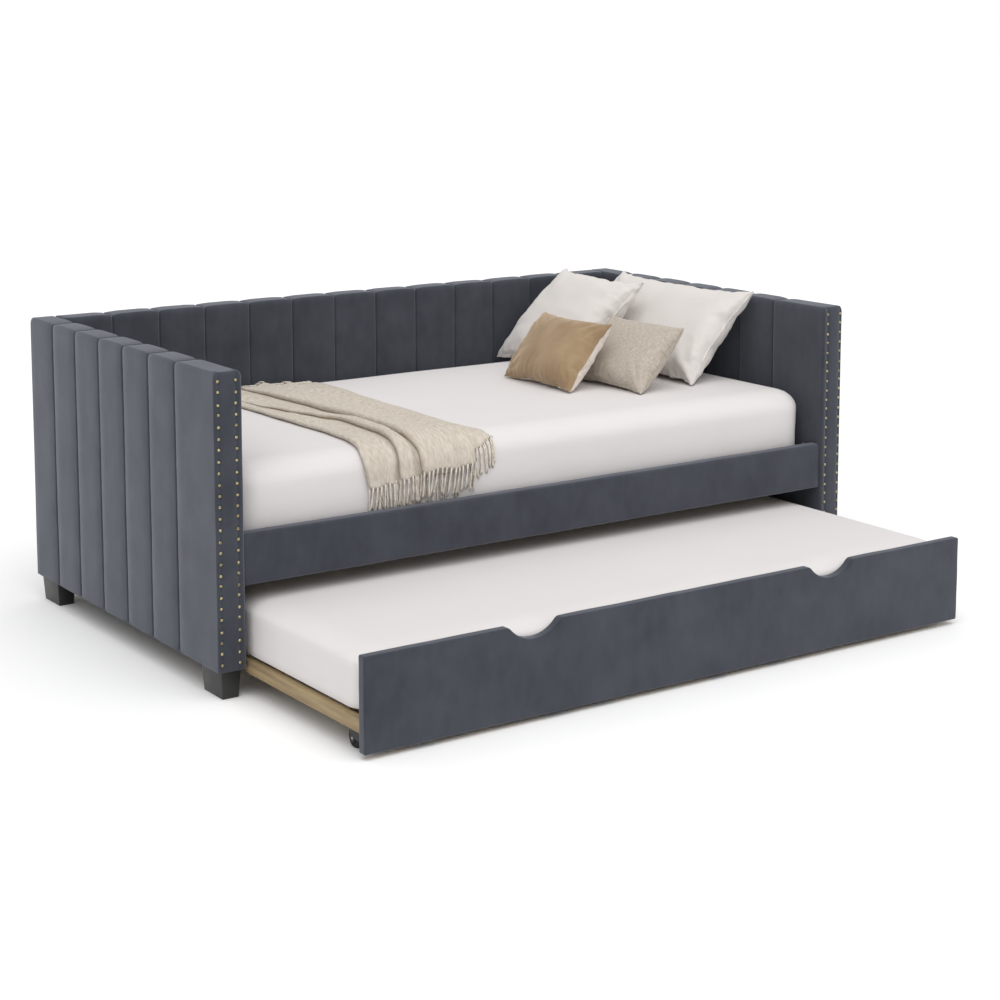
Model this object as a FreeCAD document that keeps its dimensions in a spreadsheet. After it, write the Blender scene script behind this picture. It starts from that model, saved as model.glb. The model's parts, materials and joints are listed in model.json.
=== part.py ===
import FreeCAD, Part
import os
import re

# Trundle bed: a daybed with upholstered arms and back, and a second bed that rolls out from under
# it on four casters.  Millimetres.  +Z is up, +X runs along the length to the right seen from the
# front, and the front faces -Y.  The origin is on the floor under the middle of the whole object
# with the trundle pulled out.

SIZES = [
    # the daybed
    ("inner_length", 1930, "between the faces of the two arms"),
    ("bed_depth", 1150, "arms from front to back"),
    ("bed_height", 826, "floor to the top of arms and back"),
    ("arm_thick", 76, "thickness of an arm"),
    ("back_thick", 76, "thickness of the back"),
    ("cover_thick", 12, "padding and velvet around a frame"),
    ("top_round", 18, "rounding along the tops of arms and back"),
    ("face_round", 4, "rounding round an arm's front face"),
    ("frame_bar", 60, "width of a frame's bars"),
    ("frame_web", 16, "thickness of a frame's web"),
    ("back_bays", 3, "recessed fields in the back frame"),
    # legs
    ("leg_height", 72, "floor to the underside of the arms"),
    ("leg_inset", 12, "leg in from the arm's outer, front and back faces"),
    ("leg_top_x", 55, "leg's top along the bed"),
    ("leg_top_y", 110, "leg's top from front to back"),
    ("leg_taper", 5, "taper of each of a leg's sides"),
    ("leg_bolt_radius", 4, "hanger bolt of a leg"),
    ("leg_bolt_reach", 38, "hanger bolt into the leg and into the frame"),
    # front rail
    ("rail_recess", 8, "rail's face behind the arms' front"),
    ("rail_thick", 38, "front rail from front to back"),
    ("rail_bottom", 282, "floor to the rail's underside"),
    ("rail_height", 133, "height of the front rail"),
    ("rail_cover_thick", 8, "padding and velvet around the rail's board"),
    ("rail_round", 6, "rounding of the rail's long edges"),
    # joining hardware
    ("bracket_leg", 36, "leg of the angle bracket"),
    ("bracket_sheet", 3, "steel of the angle bracket"),
    ("bracket_lift", 45, "bracket above the rail's underside"),
    ("bracket_top_gap", 8, "bracket under the rail's top"),
    ("screw_radius", 2.5, "screw through a bracket"),
    ("screw_length", 26, "screw under its head"),
    ("screw_head_radius", 5, "screw head"),
    ("screw_head_thick", 3, "screw head"),
    ("screw_side", 18, "screw from the bracket's corner"),
    ("screw_end", 18, "screw from the bracket's top and bottom"),
    ("back_bolt_radius", 4, "bolt between arm and back"),
    ("back_bolt_in_arm", 46, "bolt beyond the arm's face"),
    ("back_bolt_in_back", 50, "bolt into the back"),
    ("back_bolt_first", 130, "lowest bolt above the frame's underside"),
    ("hole_clearance", 0.1, "hole's radius over its bolt's"),
    # slats under the daybed's mattress
    ("ledger_height", 22, "slat ledger"),
    ("ledger_thick", 25, "slat ledger from front to back"),
    ("ledger_lift", 1, "ledger above the rail's underside"),
    ("slat_thick", 18, "daybed slat"),
    ("slat_width", 68, "daybed slat along the bed"),
    ("slat_count", 12, "daybed slats"),
    ("slat_end_gap", 2, "slat's end to rail and back"),
    ("slat_margin", 34, "first slat to the arm's face"),
    ("webbing_width", 30, "webbing strap"),
    ("webbing_thick", 1.2, "webbing strap"),
    ("webbing_inset", 300, "strap in from the front rail and from the back"),
    # nailheads
    ("nail_radius", 4.3, "nailhead"),
    ("nail_height", 2.2, "nailhead's dome"),
    ("nail_count", 26, "nailheads in a row"),
    ("nail_outer_inset", 10, "outer row from the arm's outer face"),
    ("nail_inner_inset", 17, "inner row from the arm's inner face"),
    ("nail_end_inset", 22, "first and last nailhead from the arm's ends"),
    # the daybed's mattress
    ("mattress_end_gap", 7.5, "mattress to each arm"),
    ("mattress_front_gap", 14, "mattress to the rail"),
    ("mattress_back_gap", 14, "mattress to the back"),
    ("mattress_height", 251.7, "mattress in its sheet"),
    ("mattress_round", 45, "rounding of the mattress's edges"),
    ("soft_gap", 0.3, "soft piece to its seat"),
    # pillows and cushions: width along Y, height across, thickness in the middle
    ("pillow_thick", 138, "white pillow"),
    ("rear_pillow_width", 650, "white pillow against the arm"),
    ("rear_pillow_height", 364, "white pillow against the arm"),
    ("rear_pillow_arm_gap", 16, "its upper edge to the right arm's face"),
    ("rear_pillow_from_back", 459, "its middle to the back's face"),
    ("rear_pillow_rise", 6, "its underside's slope at the lower edge, in degrees"),
    ("front_pillow_width", 450, "white pillow in front of it"),
    ("front_pillow_height", 390, "white pillow in front of it"),
    ("front_pillow_gap", 3.5, "between the two white pillows"),
    ("front_pillow_from_back", 237, "its middle to the back's face"),
    ("front_pillow_rise", 6.6, "its underside's slope at the lower edge, in degrees"),
    ("cushion_thick", 108, "small cushion"),
    ("cushion_width", 344, "small cushion"),
    ("cushion_height", 248, "small cushion"),
    ("beige_gap", 42, "beige cushion to the rear pillow"),
    ("beige_from_back", 645, "its middle to the back's face"),
    ("beige_rise", 1.5, "its underside's slope at the lower edge, in degrees"),
    ("gold_gap", 12, "gold cushion to the beige one"),
    ("gold_from_back", 504, "its middle to the back's face"),
    ("gold_rise", 4, "its underside's slope at the lower edge, in degrees"),
    # the throw over the mattress
    ("throw_from_arm", 385, "throw to the left arm's face"),
    ("throw_width", 370, "throw along the bed, as it is folded"),
    ("throw_thick", 9, "folded throw"),
    ("throw_back_gap", 60, "throw's end to the mattress's back edge"),
    ("throw_above_rail", 3, "throw's hanging end above the rail's top"),
    # the trundle
    ("pull_out", 560, "trundle's face in front of the arms' front"),
    ("panel_side_gap", 4, "trundle's panel to each arm's face when it is closed"),
    ("trundle_rear_gap", 26, "trundle to the back's face when it is closed"),
    ("panel_thick", 28, "trundle's front panel"),
    ("panel_bottom", 14, "floor to the panel's underside"),
    ("panel_height", 233, "front panel"),
    ("panel_cover_thick", 5, "velvet and its padding on the panel"),
    ("grip_spacing", 964, "between the middles of the finger cut-outs"),
    ("grip_radius", 96, "arc of a finger cut-out"),
    ("grip_depth", 38, "finger cut-out"),
    ("trundle_rail_height", 33, "trundle's rails"),
    ("trundle_rail_thick", 20, "trundle's rails"),
    ("trundle_side_gap", 10, "trundle's side rail to the arm's face"),
    ("trundle_slat_thick", 10, "trundle slat"),
    ("trundle_slat_width", 70, "trundle slat along the bed"),
    ("trundle_slat_count", 10, "trundle slats"),
    ("trundle_slat_margin", 40, "first slat to the side rail"),
    ("trundle_ledger_thick", 20, "ledger of the trundle's slats"),
    ("block_x", 70, "corner block along the bed"),
    ("block_y", 92, "corner block from front to back"),
    ("centre_bar_width", 40, "centre bar from front to back"),
    ("panel_screw_radius", 2.5, "screw between inner rail and panel"),
    ("panel_screw_length", 33, "screw between inner rail and panel"),
    ("panel_screw_spacing", 440, "between those screws"),
    ("trundle_mattress_end_gap", 10, "trundle's mattress in from its side rails' outer faces"),
    ("trundle_mattress_front_gap", 4, "trundle's mattress to the panel"),
    ("trundle_mattress_rear_gap", 18, "trundle's mattress to the frame's rear"),
    ("trundle_mattress_height", 148.7, "trundle's mattress in its sheet"),
    ("trundle_mattress_round", 28, "rounding of its edges"),
    # casters
    ("caster_side", 33, "swivel axis in from the side rail's outer face"),
    ("caster_end", 52, "swivel axis from the panel and from the frame's rear"),
    ("caster_trail", 18, "axle behind the swivel axis"),
    ("wheel_radius", 24, "wheel"),
    ("wheel_width", 20, "wheel"),
    ("wheel_round", 4, "rounding of the tread"),
    ("hub_radius", 10, "hub"),
    ("hub_recess", 2, "wheel's side around the hub"),
    ("rim_radius", 18, "outside of that recess"),
    ("axle_radius", 3, "axle"),
    ("axle_clearance", 0.05, "wheel's bore over its axle"),
    ("fork_sheet", 2.5, "steel of the fork"),
    ("fork_side_gap", 2, "fork's cheek to the wheel"),
    ("fork_roof_gap", 2, "fork's roof over the wheel"),
    ("fork_front", 16, "roof in front of the swivel axis"),
    ("fork_rear", 9, "roof behind the axle"),
    ("fork_eye_radius", 9, "round end of the cheek at the axle"),
    ("race_radius", 16, "bearing race on the fork"),
    ("race_height", 2.8, "bearing race on the fork"),
    ("race_gap", 0.2, "bearing race to the plate"),
    ("king_radius", 4, "kingpin"),
    ("king_head_radius", 6.5, "kingpin's riveted head"),
    ("king_head_thick", 2.5, "kingpin's riveted head"),
    ("king_head_gap", 0.3, "kingpin's head to the fork's roof"),
    ("plate_x", 56, "caster's plate along the bed"),
    ("plate_y", 68, "caster's plate from front to back"),
    ("plate_sheet", 2.5, "steel of the plate"),
    ("plate_hole_x", 40, "between the plate's holes along the bed"),
    ("plate_hole_y", 52, "between the plate's holes from front to back"),
    ("plate_screw_radius", 2, "screw of a plate"),
    ("plate_screw_length", 16, "screw of a plate, through plate and wood"),
    ("plate_screw_head", 4, "radius of that screw's head"),
    ("plate_screw_head_thick", 1.2, "that screw's head"),
]

# Places, as expressions of the sizes above.
BED_BACK = "((bed_depth + pull_out) / 2)"
BED_FRONT = f"({BED_BACK} - bed_depth)"
BACK_FACE = f"({BED_BACK} - back_thick)"
ARM_FACE = "(inner_length / 2)"
ARM_OUTER = f"({ARM_FACE} + arm_thick)"
RAIL_FRONT = f"({BED_FRONT} + rail_recess)"
RAIL_BACK = f"({RAIL_FRONT} + rail_thick)"
RAIL_TOP = "(rail_bottom + rail_height)"
LEDGER_BOTTOM = "(rail_bottom + ledger_lift)"
SLAT_BOTTOM = f"({LEDGER_BOTTOM} + ledger_height)"
MATTRESS_BOTTOM = f"({SLAT_BOTTOM} + slat_thick + soft_gap)"
MATTRESS_TOP = f"({MATTRESS_BOTTOM} + mattress_height)"
MATTRESS_FRONT = f"({RAIL_BACK} + mattress_front_gap)"
MATTRESS_BACK = f"({BACK_FACE} - mattress_back_gap)"
ROOF_BOTTOM = "(2 * wheel_radius + fork_roof_gap)"
RACE_TOP = f"({ROOF_BOTTOM} + fork_sheet + race_height)"
PLATE_BOTTOM = f"({RACE_TOP} + race_gap)"
FRAME_BOTTOM = f"({PLATE_BOTTOM} + plate_sheet)"
PANEL_FRONT = f"(-{BED_BACK})"
PANEL_BACK = f"({PANEL_FRONT} + panel_thick)"
PANEL_HALF = f"({ARM_FACE} - panel_side_gap)"
PANEL_TOP = "(panel_bottom + panel_height)"
TRUNDLE_REAR = f"({PANEL_FRONT} + bed_depth - rail_recess - back_thick - trundle_rear_gap)"
TRUNDLE_SIDE = f"({ARM_FACE} - trundle_side_gap)"
TRUNDLE_INNER = f"({TRUNDLE_SIDE} - trundle_rail_thick)"
TRUNDLE_TOP = f"({FRAME_BOTTOM} + trundle_rail_height)"
TRUNDLE_SLAT_BOTTOM = f"({TRUNDLE_TOP} - trundle_slat_thick)"
FRONT_BAY = f"({PANEL_BACK} + trundle_rail_thick)"
REAR_BAY = f"({TRUNDLE_REAR} - trundle_rail_thick)"
FORK_HALF = "(wheel_width / 2 + fork_side_gap + fork_sheet)"
NAIL_SPHERE = "((nail_radius ^ 2 + nail_height ^ 2) / (2 * nail_height))"

SIDES = {"left": -1, "right": 1}
CORNERS = {
    "front_left": (-1, f"({PANEL_BACK} + caster_end)"),
    "front_right": (1, f"({PANEL_BACK} + caster_end)"),
    "rear_left": (-1, f"({TRUNDLE_REAR} - caster_end)"),
    "rear_right": (1, f"({TRUNDLE_REAR} - caster_end)"),
}
BACK_BOLTS_PER_SIDE = 3
SCREWS_PER_PANEL = 4
ABOUT = {
    "X": FreeCAD.Vector(1, 0, 0),
    "Y": FreeCAD.Vector(0, 1, 0),
    "Z": FreeCAD.Vector(0, 0, 1),
}
# A cylinder's own axis is Z: the turn that lays it along each axis.
LAID = {"X": ("Y", 90), "Y": ("X", -90), "Z": ("Z", 0)}

doc = FreeCAD.newDocument("TrundleBed")
sheet = doc.addObject("Spreadsheet::Sheet", "Sizes")
for row, (alias, value, meaning) in enumerate(SIZES, start=1):
    sheet.set(f"A{row}", meaning)
    sheet.set(f"B{row}", str(value))
    sheet.setAlias(f"B{row}", alias)
doc.recompute()

ALIASES = {alias for alias, value, meaning in SIZES}
nodes = []


def sized(text):
    """An expression whose size names point at the sheet."""
    return re.sub(r"[a-z][a-z_]+", lambda m: "Sizes." + m[0] if m[0] in ALIASES else m[0], str(text))


def value_of(text):
    """The number that an expression of sizes comes to: millimetres or degrees."""
    result = sheet.evalExpression(sized(text))
    return float(getattr(result, "Value", result))


def bind(item, **expressions):
    for name, text in expressions.items():
        item.setExpression(name, sized(text))


def place(item, x=0, y=0, z=0, turn=("Z", 0)):
    """Bind an object's place, after turning it about one axis."""
    axis, degrees = turn
    item.Placement = FreeCAD.Placement(FreeCAD.Vector(), FreeCAD.Rotation(ABOUT[axis], degrees))
    for letter, text in (("x", x), ("y", y), ("z", z)):
        item.setExpression(f"Placement.Base.{letter}", sized(text))


def body(label, x=0, y=0, z=0, turn=("Z", 0)):
    """A sub-part: a body whose own origin lies at x, y, z."""
    made = doc.addObject("PartDesign::Body", label)
    made.Label = label
    made.AllowCompound = True
    place(made, x, y, z, turn)
    nodes.append(made)
    return made


def box(owner, length, width, height, x=0, y=0, z=0, cut=False):
    """Add or cut a box, its low corner at x, y, z from the body's origin."""
    kind = "PartDesign::SubtractiveBox" if cut else "PartDesign::AdditiveBox"
    made = owner.newObject(kind, "Hollow" if cut else "Block")
    bind(made, Length=length, Width=width, Height=height)
    place(made, x, y, z)
    return made


def cylinder(owner, radius, length, x=0, y=0, z=0, along="Z", cut=False):
    """Add or cut a cylinder that runs from x, y, z along an axis of the body."""
    kind = "PartDesign::SubtractiveCylinder" if cut else "PartDesign::AdditiveCylinder"
    made = owner.newObject(kind, "Bore" if cut else "Round")
    bind(made, Radius=radius, Height=length)
    place(made, x, y, z, LAID[along])
    return made


def fillet(owner, feature, radius, chosen):
    """Round the edges of a feature that the test picks."""
    doc.recompute()
    names = [f"Edge{i}" for i, edge in enumerate(feature.Shape.Edges, start=1) if chosen(edge)]
    made = owner.newObject("PartDesign::Fillet", "Edges")
    made.Base = (feature, names)
    bind(made, Radius=radius)
    return made


def row_of(owner, feature, axis, length, count):
    """Repeat a feature of a body in a straight row."""
    doc.recompute()
    direction = next(f for f in owner.Origin.OriginFeatures if f.Role == f"{axis}_Axis")
    made = owner.newObject("PartDesign::LinearPattern", "Row")
    made.Originals = [feature]
    made.Direction = (direction, [""])
    bind(made, Length=length, Occurrences=count)
    owner.Tip = made
    return made


def group(label, members):
    """A sub-part of several separate solids."""
    made = doc.addObject("Part::Compound", label)
    made.Label = label
    made.Links = members
    nodes.append(made)
    return made


def solid_box(length, width, height, x, y, z):
    made = doc.addObject("Part::Box", "Block")
    bind(made, Length=length, Width=width, Height=height)
    place(made, x, y, z)
    return made


def solid_cylinder(radius, length, x, y, z, along="Z"):
    made = doc.addObject("Part::Cylinder", "Round")
    bind(made, Radius=radius, Height=length)
    place(made, x, y, z, LAID[along])
    return made


def cut(base, tools):
    """What is left of a solid without the tools."""
    joined = doc.addObject("Part::MultiFuse", "Tools")
    joined.Shapes = tools
    made = doc.addObject("Part::Cut", "Cut")
    made.Base = base
    made.Tool = joined
    return made


def named(item, label):
    """Make an object a sub-part."""
    item.Label = label
    nodes.append(item)


def along_axis(edge, axis):
    """True for a straight edge along X, Y or Z."""
    span = edge.lastVertex().Point - edge.firstVertex().Point
    return abs(abs(span.dot(ABOUT[axis])) - edge.Length) < 1e-6


def at_height(edge, height):
    bounds = edge.BoundBox
    return abs(bounds.ZMin - height) < 1e-6 and abs(bounds.ZMax - height) < 1e-6


def outward(side, near, far):
    """Low X of a span between two distances out from the middle, on one side of the bed."""
    return near if side > 0 else f"-({far})"


# ---- arms ---------------------------------------------------------------------------------------

FRAME_LONG = "(bed_depth - 2 * cover_thick)"
FRAME_TALL = "(bed_height - leg_height - cover_thick)"
FRAME_THICK = "(arm_thick - 2 * cover_thick)"
BACK_FRAME_THICK = "(back_thick - 2 * cover_thick)"
HOLE = "hole_clearance"
BOLT_STEP = f"(({FRAME_TALL} - 2 * back_bolt_first) / {BACK_BOLTS_PER_SIDE - 1})"
BOLT_LINE = f"({BED_BACK} - back_thick / 2)"
BRACKET_BOTTOM = "(rail_bottom + bracket_lift)"
BRACKET_TOP = f"({RAIL_TOP} - bracket_top_gap)"
SCREW_HEIGHTS = (f"({BRACKET_BOTTOM} + screw_end)", f"({BRACKET_TOP} - screw_end)")
LEG_LINE_X = f"({ARM_OUTER} - leg_inset - leg_top_x / 2)"
LEG_LINE_Y = {
    "front": f"({BED_FRONT} + leg_inset + leg_top_y / 2)",
    "rear": f"({BED_BACK} - leg_inset - leg_top_y / 2)",
}


def drill_arm(owner, side, low_x, low_y):
    """Bore an arm's piece for the back's bolts and the bracket's screws.  The bores start at the arm's
    inner face; low_x and low_y are the body's origin."""
    inward = -side
    for number in range(BACK_BOLTS_PER_SIDE):
        start = ARM_FACE if side > 0 else f"(-{ARM_FACE} - back_bolt_in_arm)"
        cylinder(owner, f"back_bolt_radius + {HOLE}", "back_bolt_in_arm", f"{start} - ({low_x})",
                 f"{BOLT_LINE} - ({low_y})", f"back_bolt_first + {number} * {BOLT_STEP}", "X", cut=True)
    reach = "(screw_length - bracket_sheet)"
    for height in SCREW_HEIGHTS:
        start = ARM_FACE if side > 0 else f"(-{ARM_FACE} - {reach})"
        cylinder(owner, f"screw_radius + {HOLE}", reach, f"{start} - ({low_x})",
                 f"{RAIL_BACK} + screw_side - ({low_y})", f"{height} - leg_height", "X", cut=True)


def arm_frame(name, side):
    """Timber frame of an arm: bars round a thin web, set back on both faces."""
    low_x = outward(side, f"{ARM_FACE} + cover_thick", f"{ARM_OUTER} - cover_thick")
    low_y = f"{BED_FRONT} + cover_thick"
    frame = body(f"{name}_arm_frame", low_x, low_y, "leg_height")
    box(frame, FRAME_THICK, FRAME_LONG, FRAME_TALL)
    for face_x in ("0", f"({FRAME_THICK} + frame_web) / 2"):
        box(frame, f"({FRAME_THICK} - frame_web) / 2", f"{FRAME_LONG} - 2 * frame_bar",
            f"{FRAME_TALL} - 2 * frame_bar", face_x, "frame_bar", "frame_bar", cut=True)
    for line_y in LEG_LINE_Y.values():
        cylinder(frame, f"leg_bolt_radius + {HOLE}", "leg_bolt_reach",
                 f"{side} * {LEG_LINE_X} - ({low_x})", f"{line_y} - ({low_y})", 0, cut=True)
    drill_arm(frame, side, low_x, low_y)


def arm_cover(name, side):
    """Padded velvet cover of an arm, open underneath."""
    low_x = outward(side, ARM_FACE, ARM_OUTER)
    cover = body(f"{name}_arm_cover", low_x, BED_FRONT, "leg_height")
    block = box(cover, "arm_thick", "bed_depth", "bed_height - leg_height")
    top = value_of("bed_height - leg_height")
    tops = fillet(cover, block, "top_round", lambda e: at_height(e, top) and along_axis(e, "Y"))
    fillet(cover, tops, "face_round", lambda e: e.BoundBox.YMax < 1e-6 and e.BoundBox.ZMax > 1e-6)
    box(cover, FRAME_THICK, FRAME_LONG, FRAME_TALL, "cover_thick", "cover_thick", 0, cut=True)
    drill_arm(cover, side, low_x, BED_FRONT)


for name, side in SIDES.items():
    arm_frame(name, side)
    arm_cover(name, side)

# ---- back ---------------------------------------------------------------------------------------

back_frame = body("back_frame", f"-{ARM_FACE}", f"{BACK_FACE} + cover_thick", "leg_height")
box(back_frame, "inner_length", BACK_FRAME_THICK, FRAME_TALL)
BAY_STEP = "((inner_length - frame_bar) / back_bays)"
for bay in range(round(value_of("back_bays"))):
    low_x = f"frame_bar + {bay} * {BAY_STEP}"
    for face_y in ("0", f"({BACK_FRAME_THICK} + frame_web) / 2"):
        box(back_frame, f"{BAY_STEP} - frame_bar", f"({BACK_FRAME_THICK} - frame_web) / 2",
            f"{FRAME_TALL} - 2 * frame_bar", low_x, face_y, "frame_bar", cut=True)
for side in SIDES.values():
    start = "inner_length - back_bolt_in_back" if side > 0 else "0"
    for number in range(BACK_BOLTS_PER_SIDE):
        cylinder(back_frame, f"back_bolt_radius + {HOLE}", "back_bolt_in_back", start,
                 f"{BOLT_LINE} - ({BACK_FACE} + cover_thick)", f"back_bolt_first + {number} * {BOLT_STEP}",
                 "X", cut=True)

back_cover = body("back_cover", f"-{ARM_FACE}", BACK_FACE, "leg_height")
block = box(back_cover, "inner_length", "back_thick", "bed_height - leg_height")
cover_top = value_of("bed_height - leg_height")
fillet(back_cover, block, "top_round", lambda e: at_height(e, cover_top) and along_axis(e, "X"))
box(back_cover, "inner_length", BACK_FRAME_THICK, FRAME_TALL, 0, "cover_thick", 0, cut=True)

back_bolts = []
for side in SIDES.values():
    for number in range(BACK_BOLTS_PER_SIDE):
        bolt = doc.addObject("Part::Cylinder", "BackBolt")
        bind(bolt, Radius="back_bolt_radius", Height="back_bolt_in_back + back_bolt_in_arm")
        start = outward(side, f"{ARM_FACE} - back_bolt_in_back", f"{ARM_FACE} + back_bolt_in_arm")
        place(bolt, start, BOLT_LINE, f"leg_height + back_bolt_first + {number} * {BOLT_STEP}", LAID["X"])
        back_bolts.append(bolt)
group("back_bolts", back_bolts)

# ---- legs ---------------------------------------------------------------------------------------

leg_bolts = []
for end, line_y in LEG_LINE_Y.items():
    for name, side in SIDES.items():
        taper = doc.addObject("Part::Wedge", "LegBlock")
        bind(taper, Xmin="-leg_top_x / 2 + leg_taper", Xmax="leg_top_x / 2 - leg_taper",
             Zmin="-leg_top_y / 2 + leg_taper", Zmax="leg_top_y / 2 - leg_taper",
             X2min="-leg_top_x / 2", X2max="leg_top_x / 2", Z2min="-leg_top_y / 2", Z2max="leg_top_y / 2",
             Ymin=0, Ymax="leg_height")
        place(taper, f"{side} * {LEG_LINE_X}", line_y, 0, ("X", 90))
        bore = doc.addObject("Part::Cylinder", "LegBore")
        bind(bore, Radius=f"leg_bolt_radius + {HOLE}", Height="leg_bolt_reach")
        place(bore, f"{side} * {LEG_LINE_X}", line_y, "leg_height - leg_bolt_reach")
        leg = doc.addObject("Part::Cut", f"leg_{end}_{name}")
        leg.Label = f"leg_{end}_{name}"
        leg.Base = taper
        leg.Tool = bore
        nodes.append(leg)
        bolt = doc.addObject("Part::Cylinder", "LegBolt")
        bind(bolt, Radius="leg_bolt_radius", Height="2 * leg_bolt_reach")
        place(bolt, f"{side} * {LEG_LINE_X}", line_y, "leg_height - leg_bolt_reach")
        leg_bolts.append(bolt)
group("leg_bolts", leg_bolts)

# ---- front rail ---------------------------------------------------------------------------------

BOARD_THICK = "(rail_thick - 2 * rail_cover_thick)"
RAIL_SCREW_REACH = "(screw_length - bracket_sheet)"


def drill_rail(owner, low_y, low_z):
    """Bore a piece of the rail from behind for the bracket's screws."""
    for side in SIDES.values():
        for height in SCREW_HEIGHTS:
            cylinder(owner, f"screw_radius + {HOLE}", RAIL_SCREW_REACH,
                     f"{side} * ({ARM_FACE} - screw_side) + {ARM_FACE}",
                     f"{RAIL_BACK} - {RAIL_SCREW_REACH} - ({low_y})", f"{height} - ({low_z})", "Y", cut=True)


board_y = f"{RAIL_FRONT} + rail_cover_thick"
board_z = "rail_bottom + rail_cover_thick"
rail_board = body("front_rail_board", f"-{ARM_FACE}", board_y, board_z)
box(rail_board, "inner_length", BOARD_THICK, "rail_height - 2 * rail_cover_thick")
drill_rail(rail_board, board_y, board_z)

rail_cover = body("front_rail_cover", f"-{ARM_FACE}", RAIL_FRONT, "rail_bottom")
block = box(rail_cover, "inner_length", "rail_thick", "rail_height")
fillet(rail_cover, block, "rail_round", lambda e: along_axis(e, "X"))
box(rail_cover, "inner_length", BOARD_THICK, "rail_height - 2 * rail_cover_thick", 0,
    "rail_cover_thick", "rail_cover_thick", cut=True)
drill_rail(rail_cover, RAIL_FRONT, "rail_bottom")

# ---- angle brackets between rail and arms, and their screws ---------------------------------------

bracket_screws = []
for name, side in SIDES.items():
    low_x = outward(side, f"{ARM_FACE} - bracket_leg", ARM_FACE)
    bracket = body(f"rail_bracket_{name}", low_x, RAIL_BACK, BRACKET_BOTTOM)
    box(bracket, "bracket_leg", "bracket_sheet", f"{BRACKET_TOP} - {BRACKET_BOTTOM}")
    box(bracket, "bracket_sheet", "bracket_leg", f"{BRACKET_TOP} - {BRACKET_BOTTOM}",
        "bracket_leg - bracket_sheet" if side > 0 else 0)
    for height in SCREW_HEIGHTS:
        cylinder(bracket, f"screw_radius + {HOLE}", "bracket_sheet",
                 f"{side} * ({ARM_FACE} - screw_side) - ({low_x})", 0, f"{height} - {BRACKET_BOTTOM}",
                 "Y", cut=True)
        cylinder(bracket, f"screw_radius + {HOLE}", "bracket_sheet",
                 "bracket_leg - bracket_sheet" if side > 0 else 0, "screw_side",
                 f"{height} - {BRACKET_BOTTOM}", "X", cut=True)
        for along, turn in (("Y", ("X", 90)), ("X", ("Y", 90 * side))):
            # each screw's head rests on the bracket, and its shank goes on into the wood
            if along == "Y":
                seat = (f"{side} * ({ARM_FACE} - screw_side)", f"{RAIL_BACK} + bracket_sheet", height)
                head_from = (seat[0], f"{seat[1]} + screw_head_thick", height)
            else:
                seat = (f"{side} * ({ARM_FACE} - bracket_sheet)", f"{RAIL_BACK} + screw_side", height)
                head_from = (f"{side} * ({ARM_FACE} - bracket_sheet - screw_head_thick)", seat[1], height)
            shank = doc.addObject("Part::Cylinder", "Shank")
            bind(shank, Radius="screw_radius", Height="screw_length")
            place(shank, *seat, turn)
            head = doc.addObject("Part::Cylinder", "Head")
            bind(head, Radius="screw_head_radius", Height="screw_head_thick")
            place(head, *head_from, turn)
            screw = doc.addObject("Part::Fuse", "Screw")
            screw.Base = shank
            screw.Tool = head
            bracket_screws.append(screw)
group("bracket_screws", bracket_screws)

# ---- slats of the daybed --------------------------------------------------------------------------

ledgers = body("slat_ledgers", f"-{ARM_FACE}", RAIL_BACK, LEDGER_BOTTOM)
box(ledgers, "inner_length", "ledger_thick", "ledger_height")
box(ledgers, "inner_length", "ledger_thick", "ledger_height", 0, f"{BACK_FACE} - ledger_thick - {RAIL_BACK}")

SLAT_STEP = "((inner_length - 2 * slat_margin - slat_width) / (slat_count - 1))"
slats = body("slats", f"-{ARM_FACE} + slat_margin", f"{RAIL_BACK} + slat_end_gap", SLAT_BOTTOM)
slat = box(slats, "slat_width", f"{BACK_FACE} - {RAIL_BACK} - 2 * slat_end_gap", "slat_thick")
row_of(slats, slat, "X", f"{SLAT_STEP} * (slat_count - 1)", "slat_count")

webbing = body("slat_webbing", f"-{ARM_FACE} + slat_margin", f"{RAIL_BACK} + webbing_inset",
               f"{SLAT_BOTTOM} - webbing_thick")
strap_long = "inner_length - 2 * slat_margin"
box(webbing, strap_long, "webbing_width", "webbing_thick")
box(webbing, strap_long, "webbing_width", "webbing_thick", 0,
    f"{BACK_FACE} - {RAIL_BACK} - 2 * webbing_inset - webbing_width")

# ---- nailheads ------------------------------------------------------------------------------------

NAIL_STEP = "((bed_height - leg_height - 2 * nail_end_inset) / (nail_count - 1))"
for name, side in SIDES.items():
    nails = []
    for line_x in (f"{ARM_OUTER} - nail_outer_inset", f"{ARM_FACE} + nail_inner_inset"):
        for number in range(round(value_of("nail_count"))):
            dome = doc.addObject("Part::Sphere", "Nailhead")
            bind(dome, Radius=NAIL_SPHERE, Angle1=f"asin(({NAIL_SPHERE} - nail_height) / {NAIL_SPHERE})")
            place(dome, f"{side} * ({line_x})", f"{BED_FRONT} + {NAIL_SPHERE} - nail_height",
                  f"leg_height + nail_end_inset + {number} * {NAIL_STEP}", ("X", 90))
            nails.append(dome)
    group(f"{name}_arm_nails", nails)


# ---- mattresses -----------------------------------------------------------------------------------

def mattress(label, length, width, height, corner, rounding):
    """Plain rounded block."""
    made = body(label, *corner)
    block = box(made, length, width, height)
    fillet(made, block, rounding, lambda e: True)


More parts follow.
